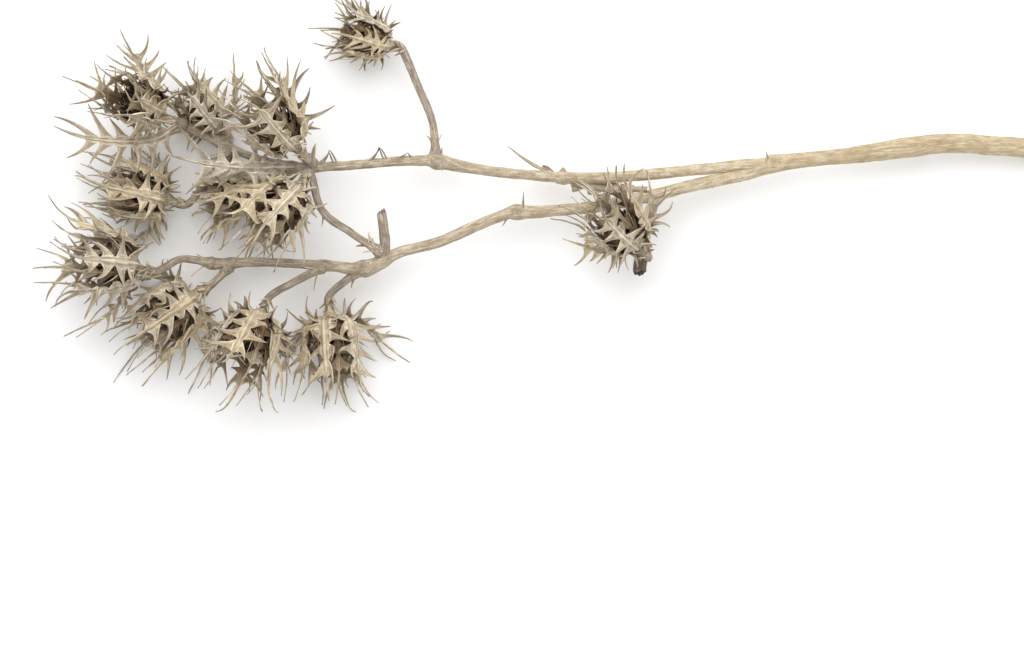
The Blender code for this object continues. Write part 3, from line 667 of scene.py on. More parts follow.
class Weave:
    """Where the bays and the rows of a finer sheet lie along it, as shares of its length."""

    def __init__(self, plate, line_at):
        self.plate = plate
        self.bay = bay_length(plate)
        self.first = plate.first_spine + plate.spine_foot / 2 - self.bay / 2
        self.last = self.first + self.bay * plate.pairs
        self.neck = LAST_SPINE + plate.spine_foot
        line = [line_at(k / LENGTH_PIECES) for k in range(LENGTH_PIECES + 1)]
        self.bay_mm = self.bay * sum((b - a).length for a, b in zip(line, line[1:])) / MM
        self.rows = [
            *np.linspace(0.0, self.first, ROOT_ROWS, endpoint=False),
            *np.linspace(self.first, self.last, BAY_ROWS * plate.pairs, endpoint=False),
            *np.linspace(self.last, 1.0, TIP_ROWS),
        ]

    def past_neck(self, t):
        """How far a place is from the neck, at 0, to the tip, at 1."""
        return max(0.0, (t - self.neck) / (1 - self.neck))

    def half_width(self, t, size, loose):
        """Half the sheet's width: the solid's own, drawn in at each bay, and thin in its last point."""
        half = half_width(self.plate, size, min(t, self.neck)) * SLIMNESS
        if t > self.neck:
            lasting = TIP_WIDTH - TIP_LOSS * loose
            x = self.past_neck(t)
            half *= (lasting + (1 - lasting) * math.exp(-TIP_DROP * x)) * (1 - x) ** TIP_TAPER
        depth = 0.5 - 0.5 * math.cos(math.tau * (t - self.first - self.bay / 2) / self.bay)
        if t < self.first:
            depth = t / self.first
        elif t > self.last:
            depth = math.exp(-(t - self.last) / BAY_FADE)
        return max(half * (1 - BAY_DEPTH * depth), SPINE_TIP * MM)

    def vein(self, t, u):
        """How strongly the veins show at a spot: the midrib, and one from it out into each spine."""
        strength = 1.0 if u == 0 else 0.0
        if self.first <= t <= self.last:
            for k in range(self.plate.pairs + 1):
                off = (t - self.first) / self.bay - k - 0.5 + RIB_SLANT * (1 - abs(u))
                strength = max(strength, math.exp(-((off * self.bay_mm / RIB_SPREAD) ** 2)))
        return strength


def sheet_half(u, thinned):
    """Half a sheet's thickness at a column: thickest at its midrib, and thicker at its margins."""
    return (RIB_HALF if u == 0 else MARGIN_HALF if abs(u) == 1 else BODY_HALF) * (1 - thinned)


def fine_sheet(
    line_at, face_of, plate, size, spines, surroundings, number, columns=WIDE_SHEET, loose=1.0
):
    """A bract or leaf with U-shaped bays between its spines, woven on the solid's own centre line.

    line_at gives the centre line at a share t of its length, and face_of the outer face's normal
    where the line runs a given way. loose is how far the sheet may curl and thin out.
    """
    skin = Skin()
    weave = Weave(plate, line_at)
    rng = random.Random(SHEET_SEED + number)
    curl = loose * size * MM
    twist = rng.uniform(-TWIST, TWIST) * loose
    sway = rng.uniform(-SWAY, SWAY) * curl
    growth = rng.uniform(*TIP_GROWTH) * loose
    swerve = rng.uniform(-TIP_SWERVE, TIP_SWERVE) * curl
    lift = rng.uniform(*TIP_LIFT) * TIP_SWERVE * curl
    rows = []
    run = 0.0
    before = line_at(0.0)
    last_point = line_at(1.0) - line_at(weave.neck)
    for t in weave.rows:
        along = direction_at(line_at, t, LINE_STEP)
        dorsal = Quaternion(along, twist * t * t) @ face_of(direction_at(line_at, t, plate.face_step))
        across = along.cross(dorsal).normalized()
        x = weave.past_neck(t)
        place = line_at(t) + across * (sway * t * t + swerve * x * x) + dorsal * lift * x * x
        place = place + last_point * growth * x * x
        run += (place - before).length / MM
        before = place
        half = weave.half_width(t, size, loose)
        reach = max(0.0, (t - weave.last) / (1 - weave.last))
        row = []
        for u in columns:
            raised = weave.vein(t, u) * (1 - RIB_FADE * reach)
            wave = noise.noise(Vector([a * b for a, b in zip((u, run, number), RIPPLE_GRAIN)]))
            rise = (RIPPLE * wave + RIB_RISE * raised) * MM - half * CUPPING * u * u
            spot = surroundings.fitted(place + across * u * half + dorsal * rise)
            pale = max(PALE_MARGIN if abs(u) == 1 else 0.0, PALE_RIB * raised, PALE_SIDE * u * u)
            grain = (u * half / MM, run, number)
            row.append(skin.vertex(spot, grain, pale, reach, sheet_half(u, SHEET_THINNING * reach)))
        rows.append((row, along, dorsal, across))
    for (near, *_), (far, *_) in zip(rows, rows[1:]):
        skin.strip(near, far)
    for i, side, way in spines:
        start = ROOT_ROWS + BAY_ROWS * ((i - 1) // 2)
        middle = start + BAY_ROWS // 2
        base = [row[-1 if side > 0 else 0] for row, *_ in rows[start : start + BAY_ROWS + 1]]
        _, along, dorsal, across = rows[middle]
        half = SPINE_HALF * weave.bay_mm / weave.bay * plate.spine_foot
        t = weave.rows[middle]
        turned, tilted = (Quaternion(pivot, rng.gauss(0, SPINE_TURN)) for pivot in (dorsal, along))
        way = turned @ tilted @ Quaternion(along, twist * t * t) @ way * rng.uniform(*SPINE_GROWTH)
        swerve = along * rng.gauss(0, SPINE_SWERVE) + dorsal * rng.gauss(0, SPINE_SWERVE)
        directions = (along, dorsal, across * side, swerve * way.length)
        spine(skin, base, way, half, directions, side, size, surroundings)
    return skin


def spine(skin, base, way, foot_half, directions, side, size, surroundings):
    """A long channelled spine drawn out of a row of the plate's edge, with a soft curve each side."""
    along, dorsal, outward, swerve = directions
    middle = len(base) // 2
    foot = Vector(skin.places[base[middle]])
    tip = surroundings.fitted(foot + way)
    if surroundings.hits_wood(foot, tip, SPINE_ROOM):
        tip = surroundings.fitted(foot + way * BLOCKED_SPINE)
    length = (tip - foot).length
    point = (tip - foot).normalized()
    leaving = (outward * SPINE_LEAVING + point * (1 - SPINE_LEAVING)).normalized()
    bend = foot + leaving * length * SPINE_BEND + swerve
    span = (along - point * along.dot(point)).normalized()
    face = point.cross(span).normalized()
    if face.dot(dorsal) < 0:
        face = -face
    offsets = [Vector(skin.places[k]) - foot for k in base]
    _, run, number = skin.marks["grain"][base[middle]]
    flare = SPINE_FLARE * size * MM
    near = base
    for j in range(1, SPINE_ROWS + 1):
        s = (j / SPINE_ROWS) ** SPINE_CROWDING
        axis = arc(foot, bend, tip, s)
        fade = math.exp(-s * length / flare)
        own_half = max(foot_half * (1 - s) ** SPINE_TAPER, SPINE_TIP) * MM
        far = []
        for k, offset in enumerate(offsets):
            u = k / middle - 1
            fold = abs(u) * own_half * -SPINE_FOLD + SPINE_RIDGE * MM * (1 - abs(u)) * (1 - s)
            spot = axis + offset * fade + (span * u * own_half + face * fold) * (1 - fade)
            grain = (u * own_half / MM, run + s * length / MM, number + SPINE_GRAIN)
            pale = PALE_MARGIN * (1 - PALE_LOSS * s) if abs(u) > 0.9 else PALE_SPINE
            pale = max(pale, PALE_FOOT * fade)
            half = sheet_half(u, SPINE_THINNING * s)
            far.append(skin.vertex(surroundings.fitted(spot), grain, pale, s, half))
        skin.strip(*((far, near) if side > 0 else (near, far)))
        near = far


def bract_curve(base, frame, turn, profile, size, sway=0.0):
    """A bract's centre line at a share of its length, and its face where the line runs a given way."""
    axis, skyward, level = frame
    out = skyward * math.cos(turn) + level * math.sin(turn)
    square = axis.cross(out)

    def line_at(t):
        distance, height = bezier(profile, t)
        return base + (out * distance + axis * height + square * sway * t * t) * size * MM

    def face_of(along):
        return square.cross(along).normalized()

    return line_at, face_of


def fine_bract(base, frame, turn, profile, size, surroundings, rng, number):
    """One bract of a head, or None where wood is in its way."""
    line_at, face_of = bract_curve(base, frame, turn, profile, size)
    line = [line_at(t) for t in stations(BRACT)]
    faces = [face_of((b - a).normalized()) for a, b in zip(line, line[1:])]
    bent = [surroundings.bent_clear(place) for place in line]
    if any(surroundings.hits_wood(a, b, PLATE_ROOM * size) for a, b in zip(bent[1:], bent[2:])):
        return None
    spines = side_spines(line, faces, BRACT, size, rng)
    return fine_sheet(line_at, face_of, BRACT, size, spines, surroundings, number)


def inner_bract(base, frame, turn, size, surroundings, number):
    """A slim inner bract, with no room kept from wood but for its spines."""
    rng = random.Random(INNER_SEED + number)
    sway = rng.uniform(-INNER_SWAY, INNER_SWAY)
    line_at, face_of = bract_curve(base, frame, turn, INNER_PROFILE, size, sway)
    line = [line_at(t) for t in stations(INNER)]
    faces = [face_of(direction_at(line_at, t, INNER.face_step)) for t in stations(INNER)]
    spines = side_spines(line, faces, INNER, size, rng)
    return fine_sheet(line_at, face_of, INNER, size, spines, surroundings, number, SLIM_SHEET)


def lathe(skin, rings, number):
    """Closed rings of vertices joined in a row. Each ring is (places, along, edge, reach)."""
    rows = []
    for places, along, edge, reach in rings:
        middle = sum(places, Vector()) / len(places)
        level = (places[0] - middle).normalized()
        third = places[len(places) // 4] - middle
        third = (third - level * third.dot(level)).normalized()
        row = []
        for place in places:
            arm = (place - middle) / MM
            grain = (arm.dot(level), along, arm.dot(third) + 10.0 * number)
            row.append(skin.vertex(place, grain, edge, reach))
        rows.append(row)
    for near, far in zip(rows, rows[1:]):
        skin.strip(near + near[:1], far + far[:1])
    skin.faces.append(tuple(rows[0][::-1]))
    skin.faces.append(tuple(rows[-1]))


def ring(centre, axis, radius_at, sides):
    """Places round an axis. radius_at gives the radius at an angle."""
    level, third = square_to(axis)
    places = []
    for k in range(sides):
        angle = math.tau * k / sides
        places.append(centre + (level * math.cos(angle) + third * math.sin(angle)) * radius_at(angle))
    return places


def round_ring(centre, axis, radius, sides):
    """Places round an axis, all of them equally far from it."""
    return ring(centre, axis, lambda _: radius, sides)


def scrap(skin, foot, way, face, width, number, pale):
    """A small dry pointed scale, curved away from what it grew on."""
    sheet = Skin()
    along = way.normalized()
    across = along.cross(face).normalized()
    rows = []
    for j in range(SCRAP_ROWS + 1):
        s = j / SCRAP_ROWS
        half = width / 2 * (1 - s) ** SCRAP_TAPER * (1 + SCRAP_BELLY * s) + SCRAP_TIP
        middle = foot + way * s + face * way.length * (SCRAP_CURL * s * s - SCRAP_SINK)
        row = []
        for u in (-1.0, 0.0, 1.0):
            spot = middle + (across * u * half - face * abs(u) * half * SCRAP_FOLD) * MM
            edge, reach = (0.5 + 0.4 * abs(u), s) if pale else (0.0, 0.45 - 0.25 * abs(u))
            grain = (u * half, s * way.length / MM, number)
            row.append(sheet.vertex(spot, grain, edge, reach, SCRAP_HALF))
        rows.append(row)
    for near, far in zip(rows, rows[1:]):
        sheet.strip(near, far)
    skin.add(sheet.thickened())


def scraps_round(skin, place, axis, radius, count, reach, number, pale=False):
    """A ring of ragged scales round a stalk or a node."""
    rng = random.Random(SCRAP_SEED + number)
    level, third = square_to(axis)
    for k in range(count):
        angle = math.tau * (k + rng.uniform(-SCRAP_SCATTER, SCRAP_SCATTER)) / count
        out = level * math.cos(angle) + third * math.sin(angle)
        length = reach * rng.uniform(*SCRAP_GROWTH) * MM
        way = (axis * rng.uniform(*SCRAP_RISE) + out * rng.uniform(*SCRAP_SPREAD)).normalized() * length
        foot = place + out * radius * MM + axis * rng.uniform(-SCRAP_SHIFT, SCRAP_SHIFT) * MM
        if foot.z + min(way.z, 0.0) > SCRAP_ROOM * MM:
            scrap(skin, foot, way, out, rng.uniform(*SCRAP_WIDTH), number * 20 + k, pale)


def calyx(skin, base, axis, size, number):
    """The ribbed knob that the bracts grow from, on top of the stalk, with scales at its foot."""
    rings = []
    for height, radius in zip(CALYX_HEIGHTS, CALYX_RADII):
        wide = radius * (size if height > 0 else 1.0) * MM

        def ribbed(angle, wide=wide):
            return wide * (1 + CALYX_RIB_DEPTH * math.cos(CALYX_RIBS * angle))

        places = ring(base + axis * height * MM, axis, ribbed, CALYX_SIDES)
        rings.append((places, height, CALYX_EDGE, 0.0))
    lathe(skin, rings, number)
    foot = base + axis * SEAT_GAP * MM
    reach = CALYX_SCALE_REACH * size
    scraps_round(skin, foot, axis, CALYX_SCALE_RADIUS, CALYX_SCALES, reach, number, pale=True)


def seed_scale(skin, foot, out, rise, length, half, edge, number):
    """A pointed scale that leaves its foot outward and curves up."""
    across = rise.cross(out).normalized()
    rings = []
    for share, girth in SCALE_PROFILE:
        middle = foot + out * length * share + rise * length * share**2 * SCALE_RISE
        wide = girth * half
        places = [
            middle + across * wide,
            middle + out * wide * SCALE_RIDGE,
            middle - across * wide,
            middle - out * wide * SCALE_RIDGE - rise * wide * SCALE_KEEL,
        ]
        rings.append((places, share * 2, edge, share))
    lathe(skin, rings, number)


def seed_head(number, head, base, axis, material):
    """A dark egg set with rows of pointed dry scales, each curving out to a tip."""
    size = head.size
    rng = random.Random(SEED_HEAD_SEED + number)
    skin = Skin()
    centre = base + axis * (CALYX_HEIGHT + SEAT_GAP + SEED_HALF_HEIGHT * size) * MM
    level, third = square_to(axis)
    rings = []
    for k in range(EGG_RINGS + 1):
        angle = math.pi * (EGG_END + (1 - 2 * EGG_END) * k / EGG_RINGS)
        height = -math.cos(angle) * SEED_HALF_HEIGHT * EGG_SHARE * size * MM
        wide = math.sin(angle) * SEED_RADIUS * EGG_SHARE * size * MM
        rings.append((round_ring(centre + axis * height, axis, wide, EGG_SIDES), k, 0.0, 0.0))
    lathe(skin, rings, number)
    for k in range(SEED_SCALES):
        up = LOWEST_SCALE + SCALE_ZONE * (k + 0.5) / SEED_SCALES
        turn = k * GOLDEN_TURN
        wide = math.sqrt(max(0.0, 1 - up * up))
        out = (level * math.cos(turn) + third * math.sin(turn)) * wide + axis * up
        rise = (axis - out * axis.dot(out)).normalized()
        foot = centre + out * SEED_RADIUS * SCALE_FOOT * size * MM
        bristle = rng.random() < BRISTLE_SHARE
        growth = BRISTLE_GROWTH if bristle else 1.0
        length = rng.uniform(*SCALE_LENGTH) * growth * SEED_RADIUS * size * MM
        half = (BRISTLE_HALF if bristle else SCALE_HALF) * size * MM
        edge = 1.0 if bristle else 0.0
        seed_scale(skin, foot, out, rise, length, half, edge, number + k * SCALE_GRAIN)
    piece = skin.made(f"seed_scales_{number:02d}", material)
    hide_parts(f"seed_head_{number:02d}")


def needles(skin, number, base, frame, size, surroundings):
    """Thin curved bristles that stand out between the bracts of a head, in every direction."""
    rng = random.Random(NEEDLE_SEED + number)
    axis, skyward, level = frame
    for k in range(NEEDLES):
        turn = math.tau * (k + rng.uniform(-NEEDLE_SCATTER, NEEDLE_SCATTER)) / NEEDLES
        out = skyward * math.cos(turn) + level * math.sin(turn)
        foot = base + (out * NEEDLE_FOOT + axis * rng.uniform(*NEEDLE_START)) * size * MM
        leaving = (axis + out * rng.uniform(*NEEDLE_OPENING)).normalized()
        way = leaving * rng.uniform(*NEEDLE_LENGTH) * size * MM
        tip = surroundings.fitted(foot + way)
        if surroundings.hits_wood(foot + way * NEEDLE_COVERED, tip, SPINE_ROOM):
            continue
        bend = foot + way * 0.5 + out * rng.uniform(*NEEDLE_BEND) * MM
        rings = []
        for j in range(NEEDLE_RINGS + 1):
            s = j / NEEDLE_RINGS
            middle = surroundings.fitted(arc(foot, bend, tip, s))
            girth = max(NEEDLE_HALF * (1 - s) ** NEEDLE_TAPER, NEEDLE_TIP) * MM
            places = round_ring(middle, way.normalized(), girth, NEEDLE_SIDES)
            rings.append((places, way.length * s / MM, PALE_NEEDLE, s))
        lathe(skin, rings, number + k * NEEDLE_GRAIN)


def flower_head(number, head, surroundings, bract_material, seed_material):
    """The cup of bracts and the seed head inside it."""
    frame = head_frame(head.facing)
    axis = frame[0]
    base = at(head.centre) - axis * CAGE_CENTRE * head.size * MM
    rng = random.Random(HEAD_SEED + number)
    cup = Skin()
    phase = rng.uniform(-FIRST_TURN, FIRST_TURN)
    for k in range(BRACTS_PER_HEAD):
        profile = SPREADING_BRACT if k in head.spreading else UPRIGHT_BRACT
        size = head.size * rng.uniform(*BRACT_SIZES)
        for nudge in BRACT_NUDGES:
            scatter = rng.uniform(-BRACT_SCATTER, BRACT_SCATTER)
            turn = phase + math.tau * (k + nudge) / BRACTS_PER_HEAD + scatter
            sheet = fine_bract(base, frame, turn, profile, size, surroundings, rng, number * 10 + k)
            if sheet:
                # The backs of the bracts are darkened with painted shade, and their fronts are not.
                cup.add(sheet.thickened(0.0, (0.0, 1.0)))
                break
    centre = base + axis * (CALYX_HEIGHT + SEAT_GAP + SEED_HALF_HEIGHT * head.size) * MM
    radius, half = ((reach * head.size + EGG_ROOM) * MM for reach in (SEED_RADIUS, SEED_HALF_HEIGHT))
    inside = replace(surroundings, egg=(centre, axis, radius, half))
    for k in range(INNER_BRACTS):
        turn = phase + math.tau * (k + 0.5) / INNER_BRACTS
        sheet = inner_bract(base, frame, turn, head.size, inside, number * 10 + k)
        # The inner bracts are darkened with painted shade on both faces.
        cup.add(sheet.thickened(0.0, (1.0, 1.0)))
    needles(cup, number, base, frame, head.size, surroundings)
    calyx(cup, base, axis, head.size, number * 10 + 7)
    cup.fade_painted_shade(centre, axis, PAINTED_SHADE_RADIUS * max(head.size, LEAST_PAINTED_SHADE_SIZE) * MM)
    piece = cup.made(f"spiny_bracts_{number:02d}", bract_material)
    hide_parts(f"bracts_{number:02d}")
    seed_head(number, head, base, axis, seed_material)


def upper_face(along):
    """The way square to a line that looks up most."""
    around = Vector((0.0, 0.0, 1.0)).cross(along).normalized()
    return along.cross(around).normalized()


def long_leaf(number, points, spine_size, surroundings, material):
    """A long spiny leaf. What it gives back is where the heads have to stay clear of it."""
    rng = random.Random(LEAF_SEED + number)
    fine = [at(point[:3]) for point in smooth_route([(*knot, 0.0) for knot in points], LEAF_SPACING)]

    def line_at(t):
        place = t * (len(fine) - 1)
        low = min(int(place), len(fine) - 2)
        return fine[low].lerp(fine[low + 1], place - low)

    line = [fine[round(t * (len(fine) - 1))] for t in stations(LEAF)]
    faces = [upper_face((b - a).normalized()) for a, b in zip(line, line[1:])]
    spines = side_spines(line, faces, LEAF, spine_size, rng)
    shown = [(i, side, way * LEAF_GROWTH[number - 1]) for i, side, way in spines]
    sheet = fine_sheet(
        line_at, upper_face, LEAF, 1.0, shown, surroundings, LEAF_SEED + number, loose=LEAF_LOOSENESS
    )
    piece = sheet.thickened().made(f"spiny_leaf_{number}", material)
    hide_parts(f"leaf_{number}")
    plates = [(a, b, LEAF_ROOM * MM) for a, b in zip(line, line[1:])]
    feet = [((line[i] + line[i + 1]) / 2, way) for i, _, way in spines]
    return plates + [(foot, foot + way, LEAF_SPINE_RADIUS * MM) for foot, way in feet]


def broken_end(last, along, centre, run, number, slant=0.0):
    """Rings that turn a tube's end inwards: a ragged rim, and a hollow where the pith was, with shade
    painted dark into it.
    """
    rings = []
    # Each ring's darkness here is painted shade.
    for depth, share, edge in BROKEN_RINGS:
        places = []
        for k, place in enumerate(last):
            rag = RAGGEDNESS * noise.noise(Vector((k * RAG_STEP, number * RAG_SEED, 1.5)))
            rag += slant * math.cos(math.tau * k / len(last))
            rise = depth + (rag if depth > 0.1 else 0.0)
            places.append(centre + (place - centre) * share + along * rise * MM)
        rings.append((places, run + depth, edge, 1.0))
    return rings


def wood_tube(
    skin, knots, sides, number, swellings, age, broken=(False, False), slant=0.0, flare=0.0
):
    """A ridged, uneven stem along a route, swollen where others leave it.

    age gives how grey the wood is at a place, broken says which of its ends are seen, slant is how
    far its far end is cut askew, and flare is how much wider its foot is.
    """
    route = smooth_route(knots, STEM_STEP)
    places = [at(point[:3]) for point in route]
    level = (places[1] - places[0]).orthogonal().normalized()
    rings = []
    run = 0.0
    directions = []
    for i, point in enumerate(route):
        along = (places[min(i + 1, len(places) - 1)] - places[max(i - 1, 0)]).normalized()
        directions.append(along)
        level = (level - along * level.dot(along)).normalized()
        third = along.cross(level)
        if i:
            run += (places[i] - places[i - 1]).length / MM
        swell = 0.0
        for spot, boost in swellings:
            swell += boost * math.exp(-(((places[i] - spot).length / (SWELL_REACH * MM)) ** 2))
        flared = flare * min(1.0, run / FLARE_START) * math.exp(-((run / FLARE_REACH) ** 2))
        grey = age(places[i])
        roughness = ROUGH_YOUNG + (ROUGH_OLD - ROUGH_YOUNG) * grey
        wander = RIDGE_WANDER * noise.noise(Vector((run * RIDGE_DRIFT, number, 0.0)))
        row = []
        for k in range(sides):
            angle = math.tau * k / sides
            around = Vector((math.cos(angle), math.sin(angle), 0.0))
            ridge = RIDGE_DEPTH * math.cos(RIDGES * angle + wander)
            dent = noise.noise(around * UNEVEN_ROUND + Vector((number, 0.0, run * UNEVEN_ALONG)))
            grain = noise.noise(around * ROUGH_ROUND + Vector((0.0, number, run * ROUGH_ALONG)))
            wide = 1 + swell + flared + ridge + UNEVENNESS * dent + grain * roughness
            row.append(places[i] + (level * around.x + third * around.y) * (point[3] * MM * wide))
        rings.append((row, run, min(DARKEST_KNOT, KNOT_SHADE * swell), grey))
    if broken[1]:
        rings += broken_end(rings[-1][0], directions[-1], places[-1], run, number, slant)
    if broken[0]:
        rings = rings[END_RINGS:]
        start = broken_end(rings[0][0], -directions[0], places[END_RINGS], 0.0, number)
        rings = start[::-1] + rings
    lathe(skin, rings, number)


def leaf_scar(skin, foot, way, length, wood, reaches, number):
    """A dry leaf scar: thin strands that rise from the wood and meet in one hooked tip."""
    up = Vector(way).normalized()
    foot = at(foot)
    near = min(wood, key=lambda piece: segment_distance(foot, foot + up * 0.1 * MM, piece[0], piece[1]))
    along = (near[1] - near[0]).normalized()
    lean = up.dot(along)
    up = (up - along * lean).normalized()
    tip = foot + (up + along * lean * SCAR_LEAN) * length * MM
    for k, reach in enumerate(reaches):
        start = foot + (along * reach - up * STRAND_SINK) * MM
        bend = foot + (along * reach * STRAND_BEND[0] + up * length * STRAND_BEND[1]) * MM
        rings = []
        for j in range(SCAR_RINGS + 1):
            s = j / SCAR_RINGS
            middle = arc(start, bend, tip, s) + along * STRAND_HOOK * s**6 * MM
            girth = max(STRAND_HALF * (1 - s) ** STRAND_TAPER, STRAND_TIP) * MM
            places = round_ring(middle, (tip - start).normalized(), girth, SCAR_SIDES)
            rings.append((places, s * length, 0.05 + 0.75 * s * s, 0.4 + 0.7 * s))
        lathe(skin, rings, number + k * STRAND_GRAIN)


def thorn(skin, foot, way, length, number):
    """A straight spike with a broad foot."""
    axis = Vector(way).normalized()
    rings = []
    for share, radius in SPIKE_PROFILE:
        centre = at(foot) + axis * length * share * MM
        places = round_ring(centre, axis, radius * SPIKE_RADIUS * MM, SPIKE_SIDES)
        up = max(share, 0.0)
        rings.append((places, length * share, 0.1 + 0.4 * up, 0.4 + 0.5 * up))
    lathe(skin, rings, number)


def branch_age(place):
    """How grey a branch is: straw-coloured near the cut end, and greyer towards the heads."""
    x = place.x / MM + PLAN_MIDDLE.x
    return min(OLDEST_BRANCH, max(0.0, (YOUNG_X - x) / AGE_SPAN))


def short_stub_age(_):
    """How grey the short stub is: all of it as much."""
    return SHORT_STUB_AGE


def long_stub_age(place):
    """How grey the long stub is: like the branch it leaves, and dark brown at its end."""
    start, end = (at(knot[:3]) for knot in (LONG_STUB[0], LONG_STUB[-1]))
    share = min(1.0, (place - start).length / (end - start).length)
    return branch_age(start) + (LONG_STUB_AGE - branch_age(start)) * share


def stalk(skin, head, number, swellings):
    """A head's stalk, greyest at the head, with small scales below the head and at its start."""
    knots = stalk_knots(head)
    root, second, seat = (at(knots[k][:3]) for k in (0, 1, -1))
    reach = (root - seat).length

    def stalk_age(place):
        return 1.0 - STALK_FRESHNESS * min(1.0, (place - seat).length / reach)

    wood_tube(skin, knots, STALK_SIDES, number, swellings, stalk_age, flare=STALK_FLARE)
    axis = Vector(head.facing).normalized()
    for step in range(SEAT_RINGS):
        place = seat - axis * (SEAT_RING_AT + SEAT_RING_GAP * step) * MM
        scraps_round(skin, place, axis, STALK_RADIUS, SEAT_SCALES, SEAT_SCALE_REACH, number * 5 + step)
    way = (second - root).normalized()
    for step in range(ROOT_RINGS if reach > LONG_STALK * MM else 1):
        place = root + way * (ROOT_RING_AT + ROOT_RING_GAP * step) * MM
        length = ROOT_SCALE_REACH - step
        scraps_round(skin, place, way, ROOT_SCALE_RADIUS, ROOT_SCALES, length, number * 9 + 4 + step)

def wood(branch_wood, material):
    """All the wood: the main stem, its two branches, the cut stubs, the stalks and the spikes."""
    skin = Skin()
    swellings = [(at(head.stalk[0]), STALK_SWELLING) for head in HEADS]
    swellings += [(at(place), boost) for place, boost in KNOTS]
    tubes = (
        (MAIN_STEM, MAIN_SIDES, branch_age, (True, False), 0.0),
        (UPPER_BRANCH, STEM_SIDES, branch_age, (False, False), 0.0),
        (LOWER_BRANCH, STEM_SIDES, branch_age, (False, False), 0.0),
        (SHORT_STUB, STEM_SIDES, short_stub_age, (False, True), SHORT_STUB_SLANT),
        (LONG_STUB, STEM_SIDES, long_stub_age, (False, True), LONG_STUB_SLANT),
    )
    for number, (route, sides, age, broken, slant) in enumerate(tubes, 1):
        wood_tube(skin, route, sides, number, swellings, age, broken, slant)
    for number, head in enumerate(HEADS, FIRST_STALK):
        stalk(skin, head, number, swellings)
    for number, (foot, way, length) in enumerate(THORNS, FIRST_SPIKE):
        if number < FIRST_SPIKE + SCARS:
            leaf_scar(skin, foot, way, length, branch_wood, STRANDS[number % 2], number)
        else:
            thorn(skin, foot, way, length, number)
    piece = skin.made("dry_stem", material)
    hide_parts("stem")


class Tree:
    """Short ways to add nodes to one node tree and to join them."""

    def __init__(self, tree):
        self.tree = tree

    def join(self, output, socket):
        self.tree.links.new(output, socket)

    def add(self, kind, inputs=(), **settings):
        """A new node; each of its inputs is set to a value, or joined to another node's output."""
        node = self.tree.nodes.new(kind)
        for name, value in settings.items():
            setattr(node, name, value)
        for socket, value in inputs:
            if isinstance(value, bpy.types.NodeSocket):
                self.join(value, node.inputs[socket])
            else:
                node.inputs[socket].default_value = value
        return node

    def mix(self, factor, a, b, blend="MIX"):
        inputs = ((0, factor), (6, a), (7, b))
        return self.add("ShaderNodeMix", inputs, data_type="RGBA", blend_type=blend).outputs[2]

    def maths(self, operation, a, b=0.0):
        return self.add("ShaderNodeMath", ((0, a), (1, b)), operation=operation).outputs[0]

    def times(self, a, b):
        return self.maths("MULTIPLY", a, b)

    def remap(self, value, low, high, to_low=0.0, to_high=1.0):
        inputs = enumerate((value, low, high, to_low, to_high))
        return self.add("ShaderNodeMapRange", inputs).outputs[0]

    def noise(self, vector, scale, detail=3.0, roughness=0.6):
        inputs = (("Vector", vector), ("Scale", scale), ("Detail", detail), ("Roughness", roughness))
        return self.add("ShaderNodeTexNoise", inputs).outputs[0]

    def stretched(self, vector, factors):
        inputs = ((0, vector), (1, factors))
        return self.add("ShaderNodeVectorMath", inputs, operation="MULTIPLY").outputs[0]

    def mark(self, name, output="Fac"):
        """One of the marks that the pieces carry."""
        return self.add("ShaderNodeAttribute", attribute_name=name).outputs[output]


def new_material(name):
    """A new material, with its node tree and its shader."""
    material = bpy.data.materials.new(name)
    material.use_nodes = True
    return material, Tree(material.node_tree), material.node_tree.nodes["Principled BSDF"]


def new_group(name, inputs, outputs):
    """An empty shader node group: each input is (name, kind, value), and each output (name, kind)."""
    group = bpy.data.node_groups.new(name, "ShaderNodeTree")
    for label, kind, value in inputs:
        socket = group.interface.new_socket(label, in_out="INPUT", socket_type="NodeSocket" + kind)
        if value is not None:
            socket.default_value = value
    for label, kind in outputs:
        group.interface.new_socket(label, in_out="OUTPUT", socket_type="NodeSocket" + kind)
    return group


def fibre_group():
    """Lengthwise fibres, slow patches and fine specks, from where a point lies along the grain."""
    inputs = (("Grain", "Vector", None), ("Fineness", "Float", 4.0))
    group = new_group("dry_fibres", inputs, [(name, "Float") for name in FIBRE_OUTPUTS])
    tree = Tree(group)
    into = tree.add("NodeGroupInput")
    grain = into.outputs["Grain"]
    drawn_out = tree.stretched(grain, (1.0, 0.055, 1.0))
    fibres = tree.noise(drawn_out, into.outputs["Fineness"], detail=4.0, roughness=0.65)
    slow = tree.stretched(grain, (1.0, 0.45, 1.0))
    patches = tree.noise(slow, scale=0.65, detail=5.0, roughness=0.72)
    specks = tree.noise(tree.stretched(grain, (1.0, 0.5, 1.0)), scale=4.5)
    spread = ((fibres, 0.38, 0.62), (patches, 0.38, 0.62), (specks, 0.56, 0.66))
    tree.add("NodeGroupOutput", enumerate([tree.remap(*limits) for limits in spread]))
    return group


